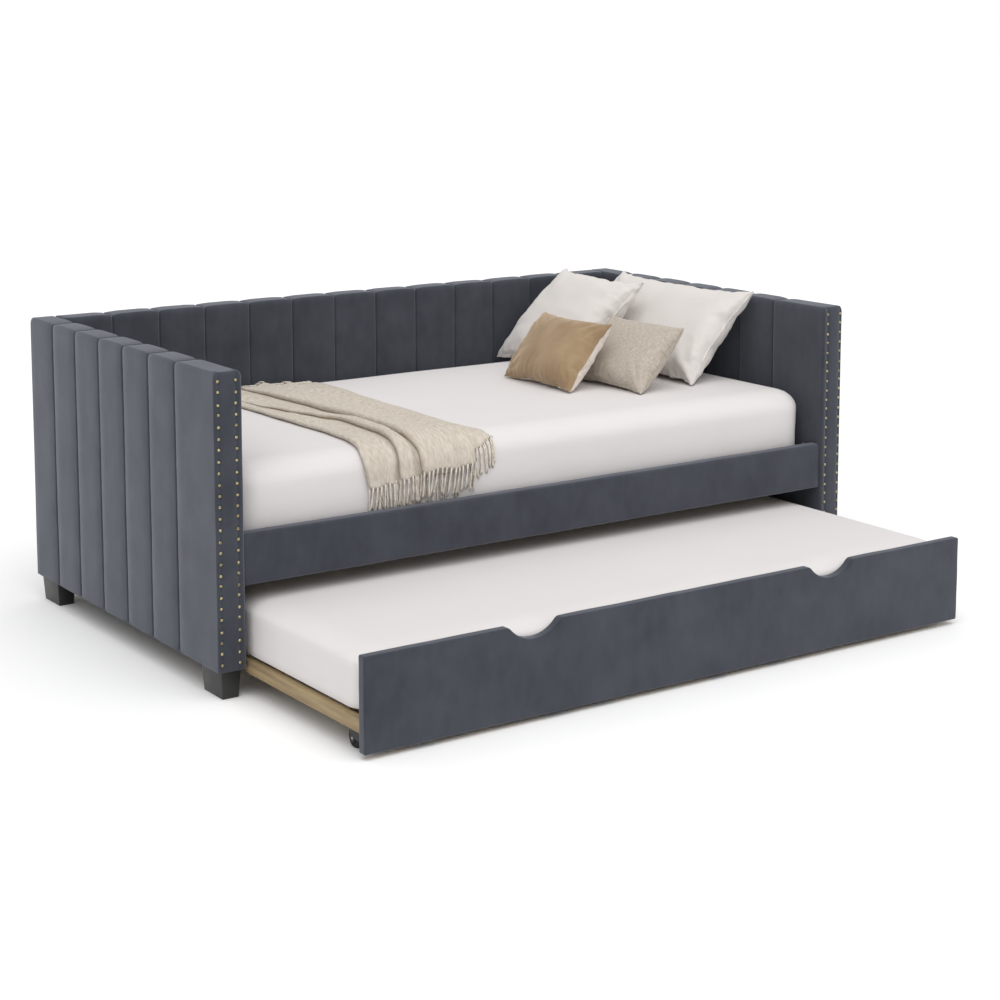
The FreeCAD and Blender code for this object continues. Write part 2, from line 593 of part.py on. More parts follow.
mattress("daybed_mattress", "inner_length - 2 * mattress_end_gap", f"{MATTRESS_BACK} - {MATTRESS_FRONT}",
         "mattress_height", (f"-{ARM_FACE} + mattress_end_gap", MATTRESS_FRONT, MATTRESS_BOTTOM),
         "mattress_round")
TRUNDLE_MATTRESS_FRONT = f"({PANEL_BACK} + trundle_mattress_front_gap)"
mattress("trundle_mattress", f"2 * ({TRUNDLE_SIDE} - trundle_mattress_end_gap)",
         f"{TRUNDLE_REAR} - trundle_mattress_rear_gap - {TRUNDLE_MATTRESS_FRONT}", "trundle_mattress_height",
         (f"-{TRUNDLE_SIDE} + trundle_mattress_end_gap", TRUNDLE_MATTRESS_FRONT,
          f"{TRUNDLE_TOP} + soft_gap"), "trundle_mattress_round")


# ---- pillows and cushions -------------------------------------------------------------------------

def pillow(label, width, tall, thick, rise, from_back, foot):
    """Two-sided lens that leans towards the right arm with its lower edge on the mattress: what two
    equal cylinders share.  The foot is the lower edge's distance from the right arm's face."""
    radius = f"((({tall}) / 2) ^ 2 + ({thick} / 2) ^ 2) / {thick}"
    halves = []
    for way in (-1, 1):
        half = doc.addObject("Part::Cylinder", "PillowFace")
        bind(half, Radius=radius, Height=width)
        place(half, f"{tall} / 2", f"-{width} / 2", f"{way} * ({radius} - {thick} / 2)", LAID["Y"])
        halves.append(half)
    lens = doc.addObject("Part::Common", label)
    lens.Label = label
    lens.Base = halves[0]
    lens.Tool = halves[1]
    place(lens, f"{ARM_FACE} - {foot}", f"{BACK_FACE} - {from_back}", f"{MATTRESS_TOP} + soft_gap",
          ("Y", -value_of(lean(tall, thick, rise))))
    nodes.append(lens)


def lean(tall, thick, rise):
    """Lean from flat: the lens's own slope at its edge, and what its underside rises above that."""
    return f"(2 * atan({thick} / {tall}) + {rise})"


REAR_LEAN = lean("rear_pillow_height", "pillow_thick", "rear_pillow_rise * 1 deg")
FRONT_LEAN = lean("front_pillow_height", "pillow_thick", "front_pillow_rise * 1 deg")
BEIGE_LEAN = lean("cushion_height", "cushion_thick", "beige_rise * 1 deg")
GOLD_LEAN = lean("cushion_height", "cushion_thick", "gold_rise * 1 deg")
HALF_BOTH = "(pillow_thick / 2 + cushion_thick / 2)"
REAR_FOOT = f"(rear_pillow_height * cos({REAR_LEAN}) + rear_pillow_arm_gap)"
FRONT_FOOT = f"({REAR_FOOT} + (pillow_thick + front_pillow_gap) / sin({FRONT_LEAN}))"
BEIGE_FOOT = f"({REAR_FOOT} + ({HALF_BOTH} + beige_gap) / sin({BEIGE_LEAN}))"
GOLD_FOOT = (f"max({BEIGE_FOOT} + (cushion_thick + gold_gap) / sin({GOLD_LEAN});"
             f" {FRONT_FOOT} + ({HALF_BOTH} + gold_gap) / sin({GOLD_LEAN}))")

pillow("white_pillow_rear", "rear_pillow_width", "rear_pillow_height", "pillow_thick",
       "rear_pillow_rise * 1 deg", "rear_pillow_from_back", REAR_FOOT)
pillow("white_pillow_front", "front_pillow_width", "front_pillow_height", "pillow_thick",
       "front_pillow_rise * 1 deg", "front_pillow_from_back", FRONT_FOOT)
pillow("beige_cushion", "cushion_width", "cushion_height", "cushion_thick", "beige_rise * 1 deg",
       "beige_from_back", BEIGE_FOOT)
pillow("gold_cushion", "cushion_width", "cushion_height", "cushion_thick", "gold_rise * 1 deg",
       "gold_from_back", GOLD_FOOT)


# ---- throw ----------------------------------------------------------------------------------------

def throw_outline(offset):
    """Points of the throw's section at an offset from the mattress: back end, front bend, hanging end."""
    front = value_of(MATTRESS_FRONT)
    top = value_of(MATTRESS_TOP) + offset
    rounding = value_of("mattress_round")
    bend = (rounding + offset) * (1 - 0.5 ** 0.5)
    back = value_of(f"{MATTRESS_BACK} - throw_back_gap")
    low = value_of(f"{RAIL_TOP} + throw_above_rail")
    return [(back, top), (front + rounding, top), (front - offset + bend, top - bend),
            (front - offset, top - offset - rounding), (front - offset, low)]


def throw_face(x):
    """Section of the throw across the mattress's rounded front edge."""
    near, far = [[FreeCAD.Vector(x, y, z) for y, z in throw_outline(value_of(gap))]
                 for gap in ("soft_gap", "soft_gap + throw_thick")]
    edges = []
    for line in (near, far):
        edges += [Part.LineSegment(line[0], line[1]).toShape(),
                  Part.Arc(line[1], line[2], line[3]).toShape(),
                  Part.LineSegment(line[3], line[4]).toShape()]
    edges += [Part.LineSegment(near[0], far[0]).toShape(), Part.LineSegment(near[4], far[4]).toShape()]
    return Part.Face(Part.Wire(Part.__sortEdges__(edges)))


throw = doc.addObject("Part::Feature", "throw")
throw.Label = "throw"
throw.Shape = throw_face(0).extrude(FreeCAD.Vector(value_of("throw_width"), 0, 0))
place(throw, f"-{ARM_FACE} + throw_from_arm")
nodes.append(throw)

# ---- trundle: front panel -------------------------------------------------------------------------

GRIP_LIFT = f"({PANEL_TOP} - grip_depth + grip_radius)"
SCREW_LINE = f"({FRAME_BOTTOM} + trundle_rail_height / 2)"


def panel_shape(inset, front, thick):
    """Board with the two finger cut-outs; inset is how far it stays inside the panel's outline."""
    block = solid_box(f"2 * ({PANEL_HALF} - {inset})", thick, f"panel_height - {inset}",
                      f"-{PANEL_HALF} + {inset}", front, "panel_bottom")
    grips = [solid_cylinder(f"grip_radius + {inset}", thick, f"{side} * grip_spacing / 2", front,
                            GRIP_LIFT, "Y") for side in SIDES.values()]
    return cut(block, grips)


def panel_screws(radius):
    """Cylinders along the screws between the inner rail and the panel."""
    shift = (SCREWS_PER_PANEL - 1) / 2
    return [solid_cylinder(radius, "panel_screw_length", f"{number - shift} * panel_screw_spacing",
                           f"{FRONT_BAY} - panel_screw_length", SCREW_LINE, "Y")
            for number in range(SCREWS_PER_PANEL)]


board_front = f"{PANEL_FRONT} + panel_cover_thick"
board_thick = "panel_thick - 2 * panel_cover_thick"
named(cut(panel_shape("panel_cover_thick", board_front, board_thick),
          panel_screws(f"panel_screw_radius + {HOLE}")), "trundle_front_board")
named(cut(panel_shape("0", PANEL_FRONT, "panel_thick"),
          [panel_shape("panel_cover_thick", board_front, board_thick),
           *panel_screws(f"panel_screw_radius + {HOLE}")]), "trundle_front_cover")
group("panel_screws", panel_screws("panel_screw_radius"))

# ---- trundle: frame -------------------------------------------------------------------------------


def plate_holes(radius, depth, bottom):
    """Cylinders on the screws of the four casters' plates."""
    swivel_x = f"({TRUNDLE_SIDE} - caster_side)"
    return [solid_cylinder(radius, depth, f"{side} * {swivel_x} + {way_x} * plate_hole_x / 2",
                           f"{line_y} + {way_y} * plate_hole_y / 2", bottom)
            for side, line_y in CORNERS.values() for way_x in (-1, 1) for way_y in (-1, 1)]


PLATE_BORES = plate_holes(f"plate_screw_radius + {HOLE}", "plate_screw_length", PLATE_BOTTOM)
RAIL_LONG = f"{TRUNDLE_REAR} - {PANEL_BACK}"
for name, side in SIDES.items():
    blank = solid_box("trundle_rail_thick", RAIL_LONG, "trundle_rail_height",
                      outward(side, TRUNDLE_INNER, TRUNDLE_SIDE), PANEL_BACK, FRAME_BOTTOM)
    named(cut(blank, PLATE_BORES), f"trundle_side_rail_{name}")

inner_rail = solid_box(f"2 * {TRUNDLE_INNER}", "trundle_rail_thick", "trundle_rail_height",
                       f"-{TRUNDLE_INNER}", PANEL_BACK, FRAME_BOTTOM)
named(cut(inner_rail, panel_screws(f"panel_screw_radius + {HOLE}")), "trundle_inner_rail")
back_rail = solid_box(f"2 * {TRUNDLE_INNER}", "trundle_rail_thick", "trundle_rail_height",
                      f"-{TRUNDLE_INNER}", REAR_BAY, FRAME_BOTTOM)
named(back_rail, "trundle_back_rail")

UNDER_SLATS = f"{TRUNDLE_SLAT_BOTTOM} - {FRAME_BOTTOM}"
blocks = []
for side, line_y in CORNERS.values():
    low_y = FRONT_BAY if line_y.startswith(f"({PANEL_BACK}") else f"{REAR_BAY} - block_y"
    low_x = outward(side, f"{TRUNDLE_INNER} - block_x", TRUNDLE_INNER)
    blank = solid_box("block_x", "block_y", UNDER_SLATS, low_x, low_y, FRAME_BOTTOM)
    blocks.append(cut(blank, PLATE_BORES))
group("trundle_corner_blocks", blocks)

ledger_half = f"({TRUNDLE_INNER} - block_x)"
group("trundle_slat_ledgers", [
    solid_box(f"2 * {ledger_half}", "trundle_ledger_thick", UNDER_SLATS, f"-{ledger_half}", low_y,
              FRAME_BOTTOM)
    for low_y in (FRONT_BAY, f"{REAR_BAY} - trundle_ledger_thick")])
named(solid_box(f"2 * {TRUNDLE_INNER}", "centre_bar_width", UNDER_SLATS, f"-{TRUNDLE_INNER}",
                f"({PANEL_BACK} + {TRUNDLE_REAR} - centre_bar_width) / 2", FRAME_BOTTOM),
      "trundle_centre_bar")

TRUNDLE_SLAT_STEP = (f"((2 * ({TRUNDLE_INNER} - trundle_slat_margin) - trundle_slat_width)"
                     " / (trundle_slat_count - 1))")
trundle_slats = body("trundle_slats", f"-{TRUNDLE_INNER} + trundle_slat_margin", FRONT_BAY,
                     TRUNDLE_SLAT_BOTTOM)
slat = box(trundle_slats, "trundle_slat_width", f"{REAR_BAY} - {FRONT_BAY}", "trundle_slat_thick")
row_of(trundle_slats, slat, "X", f"{TRUNDLE_SLAT_STEP} * (trundle_slat_count - 1)", "trundle_slat_count")

# ---- casters --------------------------------------------------------------------------------------

AXLE_LINE = "caster_trail"
KING_LOW = f"({ROOF_BOTTOM} - king_head_gap - king_head_thick)"


def caster(corner, side, line_y):
    """Plate with kingpin, fork, axle and wheel; each body's origin is on the floor under the kingpin."""
    at = (f"{side} * ({TRUNDLE_SIDE} - caster_side)", line_y, 0)

    plate = body(f"caster_plate_{corner}", *at)
    box(plate, "plate_x", "plate_y", "plate_sheet", "-plate_x / 2", "-plate_y / 2", PLATE_BOTTOM)
    cylinder(plate, "king_radius", f"{PLATE_BOTTOM} - {KING_LOW}", 0, 0, KING_LOW)
    cylinder(plate, "king_head_radius", "king_head_thick", 0, 0, KING_LOW)
    for way_x in (-1, 1):
        for way_y in (-1, 1):
            cylinder(plate, f"plate_screw_radius + {HOLE}", "plate_sheet", f"{way_x} * plate_hole_x / 2",
                     f"{way_y} * plate_hole_y / 2", PLATE_BOTTOM, cut=True)

    fork = body(f"caster_fork_{corner}", *at)
    roof_long = "fork_front + caster_trail + fork_rear"
    box(fork, f"2 * {FORK_HALF}", roof_long, f"{ROOF_BOTTOM} + fork_sheet - wheel_radius",
        f"-{FORK_HALF}", "-fork_front", "wheel_radius")
    cylinder(fork, "fork_eye_radius", f"2 * {FORK_HALF}", f"-{FORK_HALF}", AXLE_LINE, "wheel_radius", "X")
    cylinder(fork, "race_radius", "race_height", 0, 0, f"{ROOF_BOTTOM} + fork_sheet")
    box(fork, f"2 * ({FORK_HALF} - fork_sheet)", f"{roof_long} + 2 * fork_eye_radius",
        ROOF_BOTTOM, f"-{FORK_HALF} + fork_sheet", "-fork_front - fork_eye_radius", 0, cut=True)
    cylinder(fork, "king_radius + axle_clearance", RACE_TOP, 0, 0, 0, cut=True)
    cylinder(fork, "axle_radius + axle_clearance", f"2 * {FORK_HALF}", f"-{FORK_HALF}", AXLE_LINE,
             "wheel_radius", "X", cut=True)

    axle = body(f"caster_axle_{corner}", *at)
    cylinder(axle, "axle_radius", f"2 * {FORK_HALF}", f"-{FORK_HALF}", AXLE_LINE, "wheel_radius", "X")

    wheel = body(f"caster_wheel_{corner}", *at)
    tyre = cylinder(wheel, "wheel_radius", "wheel_width", "-wheel_width / 2", AXLE_LINE, "wheel_radius", "X")
    fillet(wheel, tyre, "wheel_round", lambda e: e.BoundBox.XLength < 1e-6)
    for low in ("-wheel_width / 2", "wheel_width / 2 - hub_recess"):
        cylinder(wheel, "rim_radius", "hub_recess", low, AXLE_LINE, "wheel_radius", "X", cut=True)
    cylinder(wheel, "hub_radius", "wheel_width", "-wheel_width / 2", AXLE_LINE, "wheel_radius", "X")
    cylinder(wheel, "axle_radius + axle_clearance", "wheel_width", "-wheel_width / 2", AXLE_LINE,
             "wheel_radius", "X", cut=True)


for corner, (side, line_y) in CORNERS.items():
    caster(corner, side, line_y)

plate_screws = []
for shank, head in zip(plate_holes("plate_screw_radius", "plate_screw_length", PLATE_BOTTOM),
                       plate_holes("plate_screw_head", "plate_screw_head_thick",
                                   f"{PLATE_BOTTOM} - plate_screw_head_thick")):
    screw = doc.addObject("Part::Fuse", "PlateScrew")
    screw.Base = shank
    screw.Tool = head
    plate_screws.append(screw)
group("caster_plate_screws", plate_screws)

# ---- check and write ------------------------------------------------------------------------------

doc.recompute()
failed = [item.Label for item in doc.Objects if {"Invalid", "Error"} & set(item.State)]
failed += [node.Label for node in nodes if node.Shape.isNull() or not node.Shape.isValid()]
for item in doc.Objects:
    if item.TypeId.startswith("PartDesign::Subtractive"):
        before = item.BaseFeature.Shape.Volume
        if item.Shape.Volume > before - 1e-3:
            failed.append(f"{item.Label} of {item.getParentGeoFeatureGroup().Label} cuts nothing")
if failed:
    raise RuntimeError("not built: " + ", ".join(sorted(set(failed))))

os.makedirs("parts", exist_ok=True)
for node in nodes:
    node.Shape.exportStep(f"parts/{node.Label}.step")
print(len(nodes), "sub-parts,", sum(len(node.Shape.Solids) for node in nodes), "solids")
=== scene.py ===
import json
import math
import random

import bmesh
import bpy
from bpy.props import FloatProperty, FloatVectorProperty, IntProperty, PointerProperty
from mathutils import Matrix, Vector, noise
from mathutils.bvhtree import BVHTree


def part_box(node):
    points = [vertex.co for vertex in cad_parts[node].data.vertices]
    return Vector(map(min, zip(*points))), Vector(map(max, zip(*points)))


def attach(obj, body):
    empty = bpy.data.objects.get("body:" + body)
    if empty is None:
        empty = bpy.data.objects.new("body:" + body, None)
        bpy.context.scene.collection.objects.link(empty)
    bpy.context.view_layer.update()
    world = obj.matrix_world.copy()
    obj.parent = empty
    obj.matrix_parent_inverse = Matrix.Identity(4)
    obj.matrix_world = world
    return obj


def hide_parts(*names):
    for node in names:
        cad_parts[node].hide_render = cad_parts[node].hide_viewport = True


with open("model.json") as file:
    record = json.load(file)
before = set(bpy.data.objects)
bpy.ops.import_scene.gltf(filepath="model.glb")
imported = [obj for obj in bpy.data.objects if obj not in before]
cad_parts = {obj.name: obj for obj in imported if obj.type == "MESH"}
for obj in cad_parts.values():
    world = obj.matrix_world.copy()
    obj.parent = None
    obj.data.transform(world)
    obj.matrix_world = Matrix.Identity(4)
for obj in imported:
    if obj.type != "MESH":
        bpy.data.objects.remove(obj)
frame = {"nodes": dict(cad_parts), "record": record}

bl_info = {
    "name": "Upholstered Trundle Bed",
    "version": (1, 0, 0),
    "blender": (4, 5, 0),
    "location": "View3D > Sidebar > Trundle Bed",
    "description": "Velvet, bedding and finishes round the frame of a trundle bed",
    "category": "Object",
}

MM = 0.001
SIDES = {"left": -1, "right": 1}
AXES = (Vector((1, 0, 0)), Vector((0, 1, 0)), Vector((0, 0, 1)))
SUBPARTS = {part["node"]: part["material_slot"] for part in frame["record"]["subparts"]}


# ---- settings -----------------------------------------------------------------------------------

def linear(hex_colour):
    """Linear RGB of an sRGB hex colour."""
    values = [int(hex_colour[i:i + 2], 16) / 255 for i in (1, 3, 5)]
    return tuple(v / 12.92 if v <= 0.04045 else ((v + 0.055) / 1.055) ** 2.4 for v in values)


def shade(rgb, share):
    """A colour's share: darker under 1, lighter over it."""
    return [value * share for value in rgb]


def length(name, description, millimetres):
    return FloatProperty(name=name, description=description, default=millimetres * MM, unit="LENGTH",
                         precision=4)


def colour(name, description, hex_colour):
    return FloatVectorProperty(name=name, description=description, default=linear(hex_colour), size=3,
                               subtype="COLOR", min=0, max=1)


class UpholsterySettings(bpy.types.PropertyGroup):
    top_round: length("Top round", "Radius along the tops of arms and back", 20)
    side_round: length("Side round", "Radius along the upright edges of an arm's face", 9)
    hem_round: length("Hem round", "Radius along the undersides", 3)
    arm_channel: length("Arm channel", "Width of an arm's sewn channels", 154)
    arm_seams: IntProperty(name="Arm seams", description="Seams across an arm", default=6)
    back_channels: IntProperty(name="Back channels", description="Sewn channels of the back", default=13)
    groove_depth: length("Groove depth", "Stitched groove of a seam", 4.6)
    groove_width: length("Groove width", "Half width of a seam's groove", 2.3)
    roll_depth: length("Roll depth", "Padding's fall from a channel's crown to its seams", 4.2)
    roll_width: length("Roll width", "Reach of that fall from the seam", 46)
    pucker: length("Pucker", "Gathers beside a seam", 0.7)
    nail_groove: length("Nail groove", "Groove under a row of nailheads", 2.0)
    face_crown: length("Face crown", "Padding between the rows of nailheads", 1.6)
    grip_shoulder: length("Grip shoulder", "Radius of a finger cut-out's shoulders", 16)


class BeddingSettings(bpy.types.PropertyGroup):
    sheet_thick: length("Sheet", "Thickness of a fitted sheet", 1.2)
    corner_round: length("Corner round", "Radius of a mattress's upright corners", 72)
    edge_round: length("Edge round", "Radius of the daybed mattress's top edge", 58)
    trundle_edge_round: length("Trundle edge round", "Radius of the trundle mattress's top edge", 34)
    tuck: length("Tuck", "Sheet under the mattress", 90)
    pillow_thick: length("Pillow", "Thickness of a stuffed pillow", 138)
    cushion_thick: length("Cushion", "Thickness of a small cushion", 108)
    throw_thick: length("Throw", "Thickness of the throw's cloth", 2.2)
    fringe_length: length("Fringe", "Length of a tassel", 78)
    fringe_step: length("Fringe spacing", "Between two tassels", 14)


class FinishSettings(bpy.types.PropertyGroup):
    velvet_dark: colour("Velvet, dark", "Pile seen with the nap", "#2F323A")
    velvet_light: colour("Velvet, light", "Pile seen against the nap", "#3D4048")
    sheet: colour("Sheet", "Fitted sheets", "#DCD8D7")
    pillowcase: colour("Pillowcase", "White pillows", "#D8D3CF")
    gold_dark: colour("Gold, dark", "Champagne velvet with the nap", "#836B4D")
    gold_light: colour("Gold, light", "Champagne velvet against the nap", "#B2997A")
    gold_reverse: colour("Gold cushion's reverse", "Plain back of the gold cushion", "#E2D8D0")
    beige_dark: colour("Beige, dark", "Beige weave's weft", "#A59A8C")
    beige_light: colour("Beige, light", "Beige weave's warp", "#C4BCB1")
    throw_dark: colour("Throw, dark", "Throw's darker yarn", "#B3A899")
    throw_light: colour("Throw, light", "Throw's lighter yarn", "#D5CDC2")
    lacquer: colour("Lacquer", "Black lacquer on the legs", "#141414")
    brass: colour("Brass", "Antique brass nailheads", "#CDBF92")
    zinc_bright: colour("Zinc, bright", "Zinc plating where it is rubbed", "#CED0D1")
    zinc_dull: colour("Zinc, dull", "Zinc plating elsewhere", "#AEB0B4")
    caster_plastic: colour("Caster plastic", "Forks and plates of the casters", "#1A1A1B")
    caster_tread: colour("Caster tread", "Wheels of the casters", "#161616")
    pine_dark: colour("Pine, dark", "Late wood", "#7C6A50")
    pine_light: colour("Pine, light", "Early wood", "#A8936F")
    dust_cloth: colour("Dust cloth", "Black cloth under arms and back", "#1B1B1D")


class StudioSettings(bpy.types.PropertyGroup):
    camera_place: FloatVectorProperty(name="Camera", description="Place of the camera", size=3,
                                      default=(-3.320, -4.801, 1.684), subtype="TRANSLATION")
    camera_turn: FloatProperty(name="Turn", description="Camera turned to the right from +Y",
                               default=math.radians(34.704), subtype="ANGLE")
    camera_tilt: FloatProperty(name="Tilt", description="Camera tilted down",
                               default=math.radians(7.736), subtype="ANGLE")
    lens: FloatProperty(name="Lens", description="Focal length in millimetres", default=75.59)
    rise: FloatProperty(name="Rise", description="Vertical shift of the lens", default=-0.2)
    horizon: FloatProperty(name="Horizon", description="Brightness of the white backdrop", default=1.0)
    sky: FloatProperty(name="Sky", description="Brightness of the light from all round", default=0.66)
    key: FloatProperty(name="Key", description="Strength of the key light", default=1.75)
    key_angle: FloatProperty(name="Key softness", description="Angle that the key light fills",
                             default=math.radians(70), subtype="ANGLE")
    key_from: FloatVectorProperty(name="Key from", description="Where the key light comes from", size=3,
                                  default=(-0.2, -0.42, 0.89), subtype="DIRECTION")
    floor: colour("Floor", "Pale studio floor", "#FCFCFC")


SETTINGS = {
    "bed_upholstery": UpholsterySettings,
    "bed_bedding": BeddingSettings,
    "bed_finishes": FinishSettings,
    "bed_studio": StudioSettings,
}


# ---- materials ----------------------------------------------------------------------------------

def add_node(tree, kind, settings=None, inputs=None):
    """Add a node: settings are its properties, inputs its sockets' values or the sockets they come from."""
    node = tree.nodes.new("ShaderNode" + kind)
    for name, value in (settings or {}).items():
        setattr(node, name, value)
    for name, value in (inputs or {}).items():
        if isinstance(value, bpy.types.NodeSocket):
            tree.links.new(value, node.inputs[name])
        else:
            node.inputs[name].default_value = value
    return node


def rgba(rgb):
    return (*rgb, 1)


def new_material(name):
    """An empty material with its output node and the object's own coordinates."""
    made = bpy.data.materials.new(f"{name}_finish")
    made.use_nodes = True
    tree = made.node_tree
    tree.nodes.clear()
    output = add_node(tree, "OutputMaterial")
    place = add_node(tree, "TexCoord").outputs["Object"]
    return made, tree, output, place


def surface(tree, output, settings):
    """A Principled shader on the material's output."""
    shader = add_node(tree, "BsdfPrincipled", inputs=settings)
    tree.links.new(shader.outputs["BSDF"], output.inputs["Surface"])


def noise_at(tree, place, size, detail=2, scale=(1, 1, 1)):
    """Noise whose patches are about size metres across, stretched by the reciprocals of scale."""
    mapped = add_node(tree, "Mapping", inputs={"Vector": place, "Scale": scale})
    return add_node(tree, "TexNoise", inputs={
        "Vector": mapped.outputs["Vector"], "Scale": 1 / size, "Detail": detail}).outputs["Fac"]


def blend_colours(tree, factor, first, second):
    return add_node(tree, "Mix", {"data_type": "RGBA"}, {
        0: factor, 6: rgba(first), 7: rgba(second)}).outputs[2]


def steeper(tree, value, low, high, floor=0.0, top=1.0):
    """Stretch the part of a noise between low and high over floor to top."""
    return add_node(tree, "MapRange", inputs={
        "Value": value, "From Min": low, "From Max": high, "To Min": floor, "To Max": top}).outputs[0]


def bump(tree, height, distance, strength=1.0, normal=None):
    inputs = {"Height": height, "Distance": distance, "Strength": strength}
    if normal:
        inputs["Normal"] = normal
    return add_node(tree, "Bump", inputs=inputs).outputs["Normal"]


def velvet(name, dark, light, patch, sheen):
    """Short-pile velvet: soft patches where the nap lies either way, a fine pile, and a pale bloom at
    glancing angles."""
    made, tree, output, place = new_material(name)
    patches = noise_at(tree, place, patch, 3)
    strokes = noise_at(tree, place, 0.22 * patch, 3, (1, 1, 0.45))
    both = add_node(tree, "Math", {"operation": "MULTIPLY_ADD"}, {0: strokes, 1: 0.5, 2: patches})
    nap = steeper(tree, both.outputs[0], 0.45, 1.05)
    # a pile of 0.5 mm, drawn 1.6 mm coarse so that it shows
    pile = noise_at(tree, place, 1.6 * MM, 1)
    dents = bump(tree, patches, 0.5 * MM)
    surface(tree, output, {
        "Base Color": blend_colours(tree, nap, dark, light),
        "Roughness": steeper(tree, nap, 0, 1, 0.92, 0.76),
        "Sheen Weight": sheen, "Sheen Roughness": 0.5,
        "Sheen Tint": rgba([0.5 + 0.5 * v / max(light) for v in light]),
        "Specular IOR Level": 0.25,
        "Normal": bump(tree, pile, 0.35 * MM, 0.6, dents)})
    return made


def cotton(name, tint, thread):
    """Plain-woven cotton: a matt off-white with a fine weave and soft creases.  Threads of 0.3 mm are drawn
    as coarse as thread says so that they show."""
    made, tree, output, place = new_material(name)
    tone = noise_at(tree, place, 250 * MM, 2)
    weave = [add_node(tree, "TexWave", {"bands_direction": axis}, {
        "Vector": place, "Scale": math.pi / (10 * thread), "Distortion": 1.5, "Detail": 1}).outputs["Fac"]
        for axis in ("X", "Y")]
    crossed = add_node(tree, "Math", {"operation": "MULTIPLY"}, {0: weave[0], 1: weave[1]}).outputs[0]
    creases = noise_at(tree, place, 70 * MM, 3, (1, 0.6, 1))
    folds = bump(tree, creases, 1.6 * MM, 0.5)
    surface(tree, output, {
        "Base Color": blend_colours(tree, tone, shade(tint, 0.965), tint),
        "Roughness": steeper(tree, tone, 0.3, 0.7, 0.82, 0.9),
        "Sheen Weight": 0.04, "Sheen Roughness": 0.5, "Specular IOR Level": 0.3,
        "Normal": bump(tree, crossed, 0.15 * MM, 0.5, folds)})
    return made


def slub_weave(name, dark, light, thread):
    """Plain weave with slubs: threads that swell and thin along the cloth's own UV map."""
    made, tree, output, _ = new_material(name)
    cloth = add_node(tree, "TexCoord").outputs["UV"]
    slubs = noise_at(tree, cloth, thread, 2, (0.12, 1, 1))
    ends = noise_at(tree, cloth, thread, 2, (1, 0.12, 1))
    mixed = add_node(tree, "Math", {"operation": "ADD"}, {0: slubs, 1: ends}).outputs[0]
    nap = steeper(tree, mixed, 0.75, 1.25)
    surface(tree, output, {
        "Base Color": blend_colours(tree, nap, dark, light),
        "Roughness": steeper(tree, nap, 0, 1, 0.95, 0.85),
        "Sheen Weight": 0.05, "Sheen Roughness": 0.5, "Specular IOR Level": 0.25,
        "Normal": bump(tree, mixed, 0.7 * MM, 0.8)})
    return made


def twill(name, dark, light, thread):
    """Soft twill: slanted ribs on the cloth's own UV map, and yarn heathered over a few millimetres."""
    made, tree, output, _ = new_material(name)
    cloth = add_node(tree, "TexCoord").outputs["UV"]
    ribs = add_node(tree, "TexWave", {"bands_direction": "DIAGONAL"}, {
        "Vector": cloth, "Scale": math.pi / (10 * thread), "Distortion": 2.0, "Detail": 2}).outputs["Fac"]
    heather = noise_at(tree, cloth, 6 * MM, 3, (1, 0.3, 1))
    mixed = add_node(tree, "Math", {"operation": "MULTIPLY_ADD"}, {0: ribs, 1: 0.3, 2: heather}).outputs[0]
    nap = steeper(tree, mixed, 0.35, 0.95)
    surface(tree, output, {
        "Base Color": blend_colours(tree, nap, dark, light),
        "Roughness": 0.93, "Sheen Weight": 0.08, "Sheen Roughness": 0.45, "Specular IOR Level": 0.2,
        "Normal": bump(tree, mixed, 0.6 * MM, 0.6)})
    return made


def yarn(name, dark, light):
    """Plied yarn: fine hairs drawn as paler flecks, a painted highlight where they catch the light, on a
    fully matt surface.
    """
    made, tree, output, place = new_material(name)
    hairs = noise_at(tree, place, 2 * MM, 2)
    surface(tree, output, {
        # the paler flecks are painted highlights of the hairs
        "Base Color": blend_colours(tree, steeper(tree, hairs, 0.3, 0.7), dark, light),
        "Roughness": 0.95, "Sheen Weight": 0.08, "Sheen Roughness": 0.5, "Specular IOR Level": 0.2,
        "Normal": bump(tree, hairs, 0.4 * MM, 0.7)})
    return made


def timber(name, dark, light, grain, rough):
    """Softwood: bands of early and late wood 14 mm wide along the board, and fine pores."""
    made, tree, output, place = new_material(name)
    along = tuple(0.06 if axis == grain else 1 for axis in range(3))
    rings = noise_at(tree, place, 14 * MM, 3, along)
    pores = noise_at(tree, place, 1.5 * MM, 2, along)
    mixed = add_node(tree, "Math", {"operation": "MULTIPLY_ADD"}, {0: pores, 1: 0.35, 2: rings}).outputs[0]
    tone = steeper(tree, mixed, 0.4, 0.9)
    surface(tree, output, {
        "Base Color": blend_colours(tree, tone, dark, light),
        "Roughness": steeper(tree, tone, 0, 1, rough + 0.12, rough),
        "Specular IOR Level": 0.35,
        "Normal": bump(tree, mixed, 0.25 * MM, 0.6)})
    return made


def lacquer(name, tint, rough):
    """Sprayed lacquer: a satin skin with a little orange peel, dulled where it is handled."""
    made, tree, output, place = new_material(name)
    peel = noise_at(tree, place, 3 * MM, 2)
    wear = noise_at(tree, place, 40 * MM, 3)
    surface(tree, output, {
        "Base Color": blend_colours(tree, wear, tint, shade(tint, 1.6)),
        "Roughness": steeper(tree, wear, 0.3, 0.7, rough, rough + 0.12),
        "Coat Weight": 0.2, "Coat Roughness": 0.3,
        "Normal": bump(tree, peel, 0.08 * MM, 0.4)})
    return made


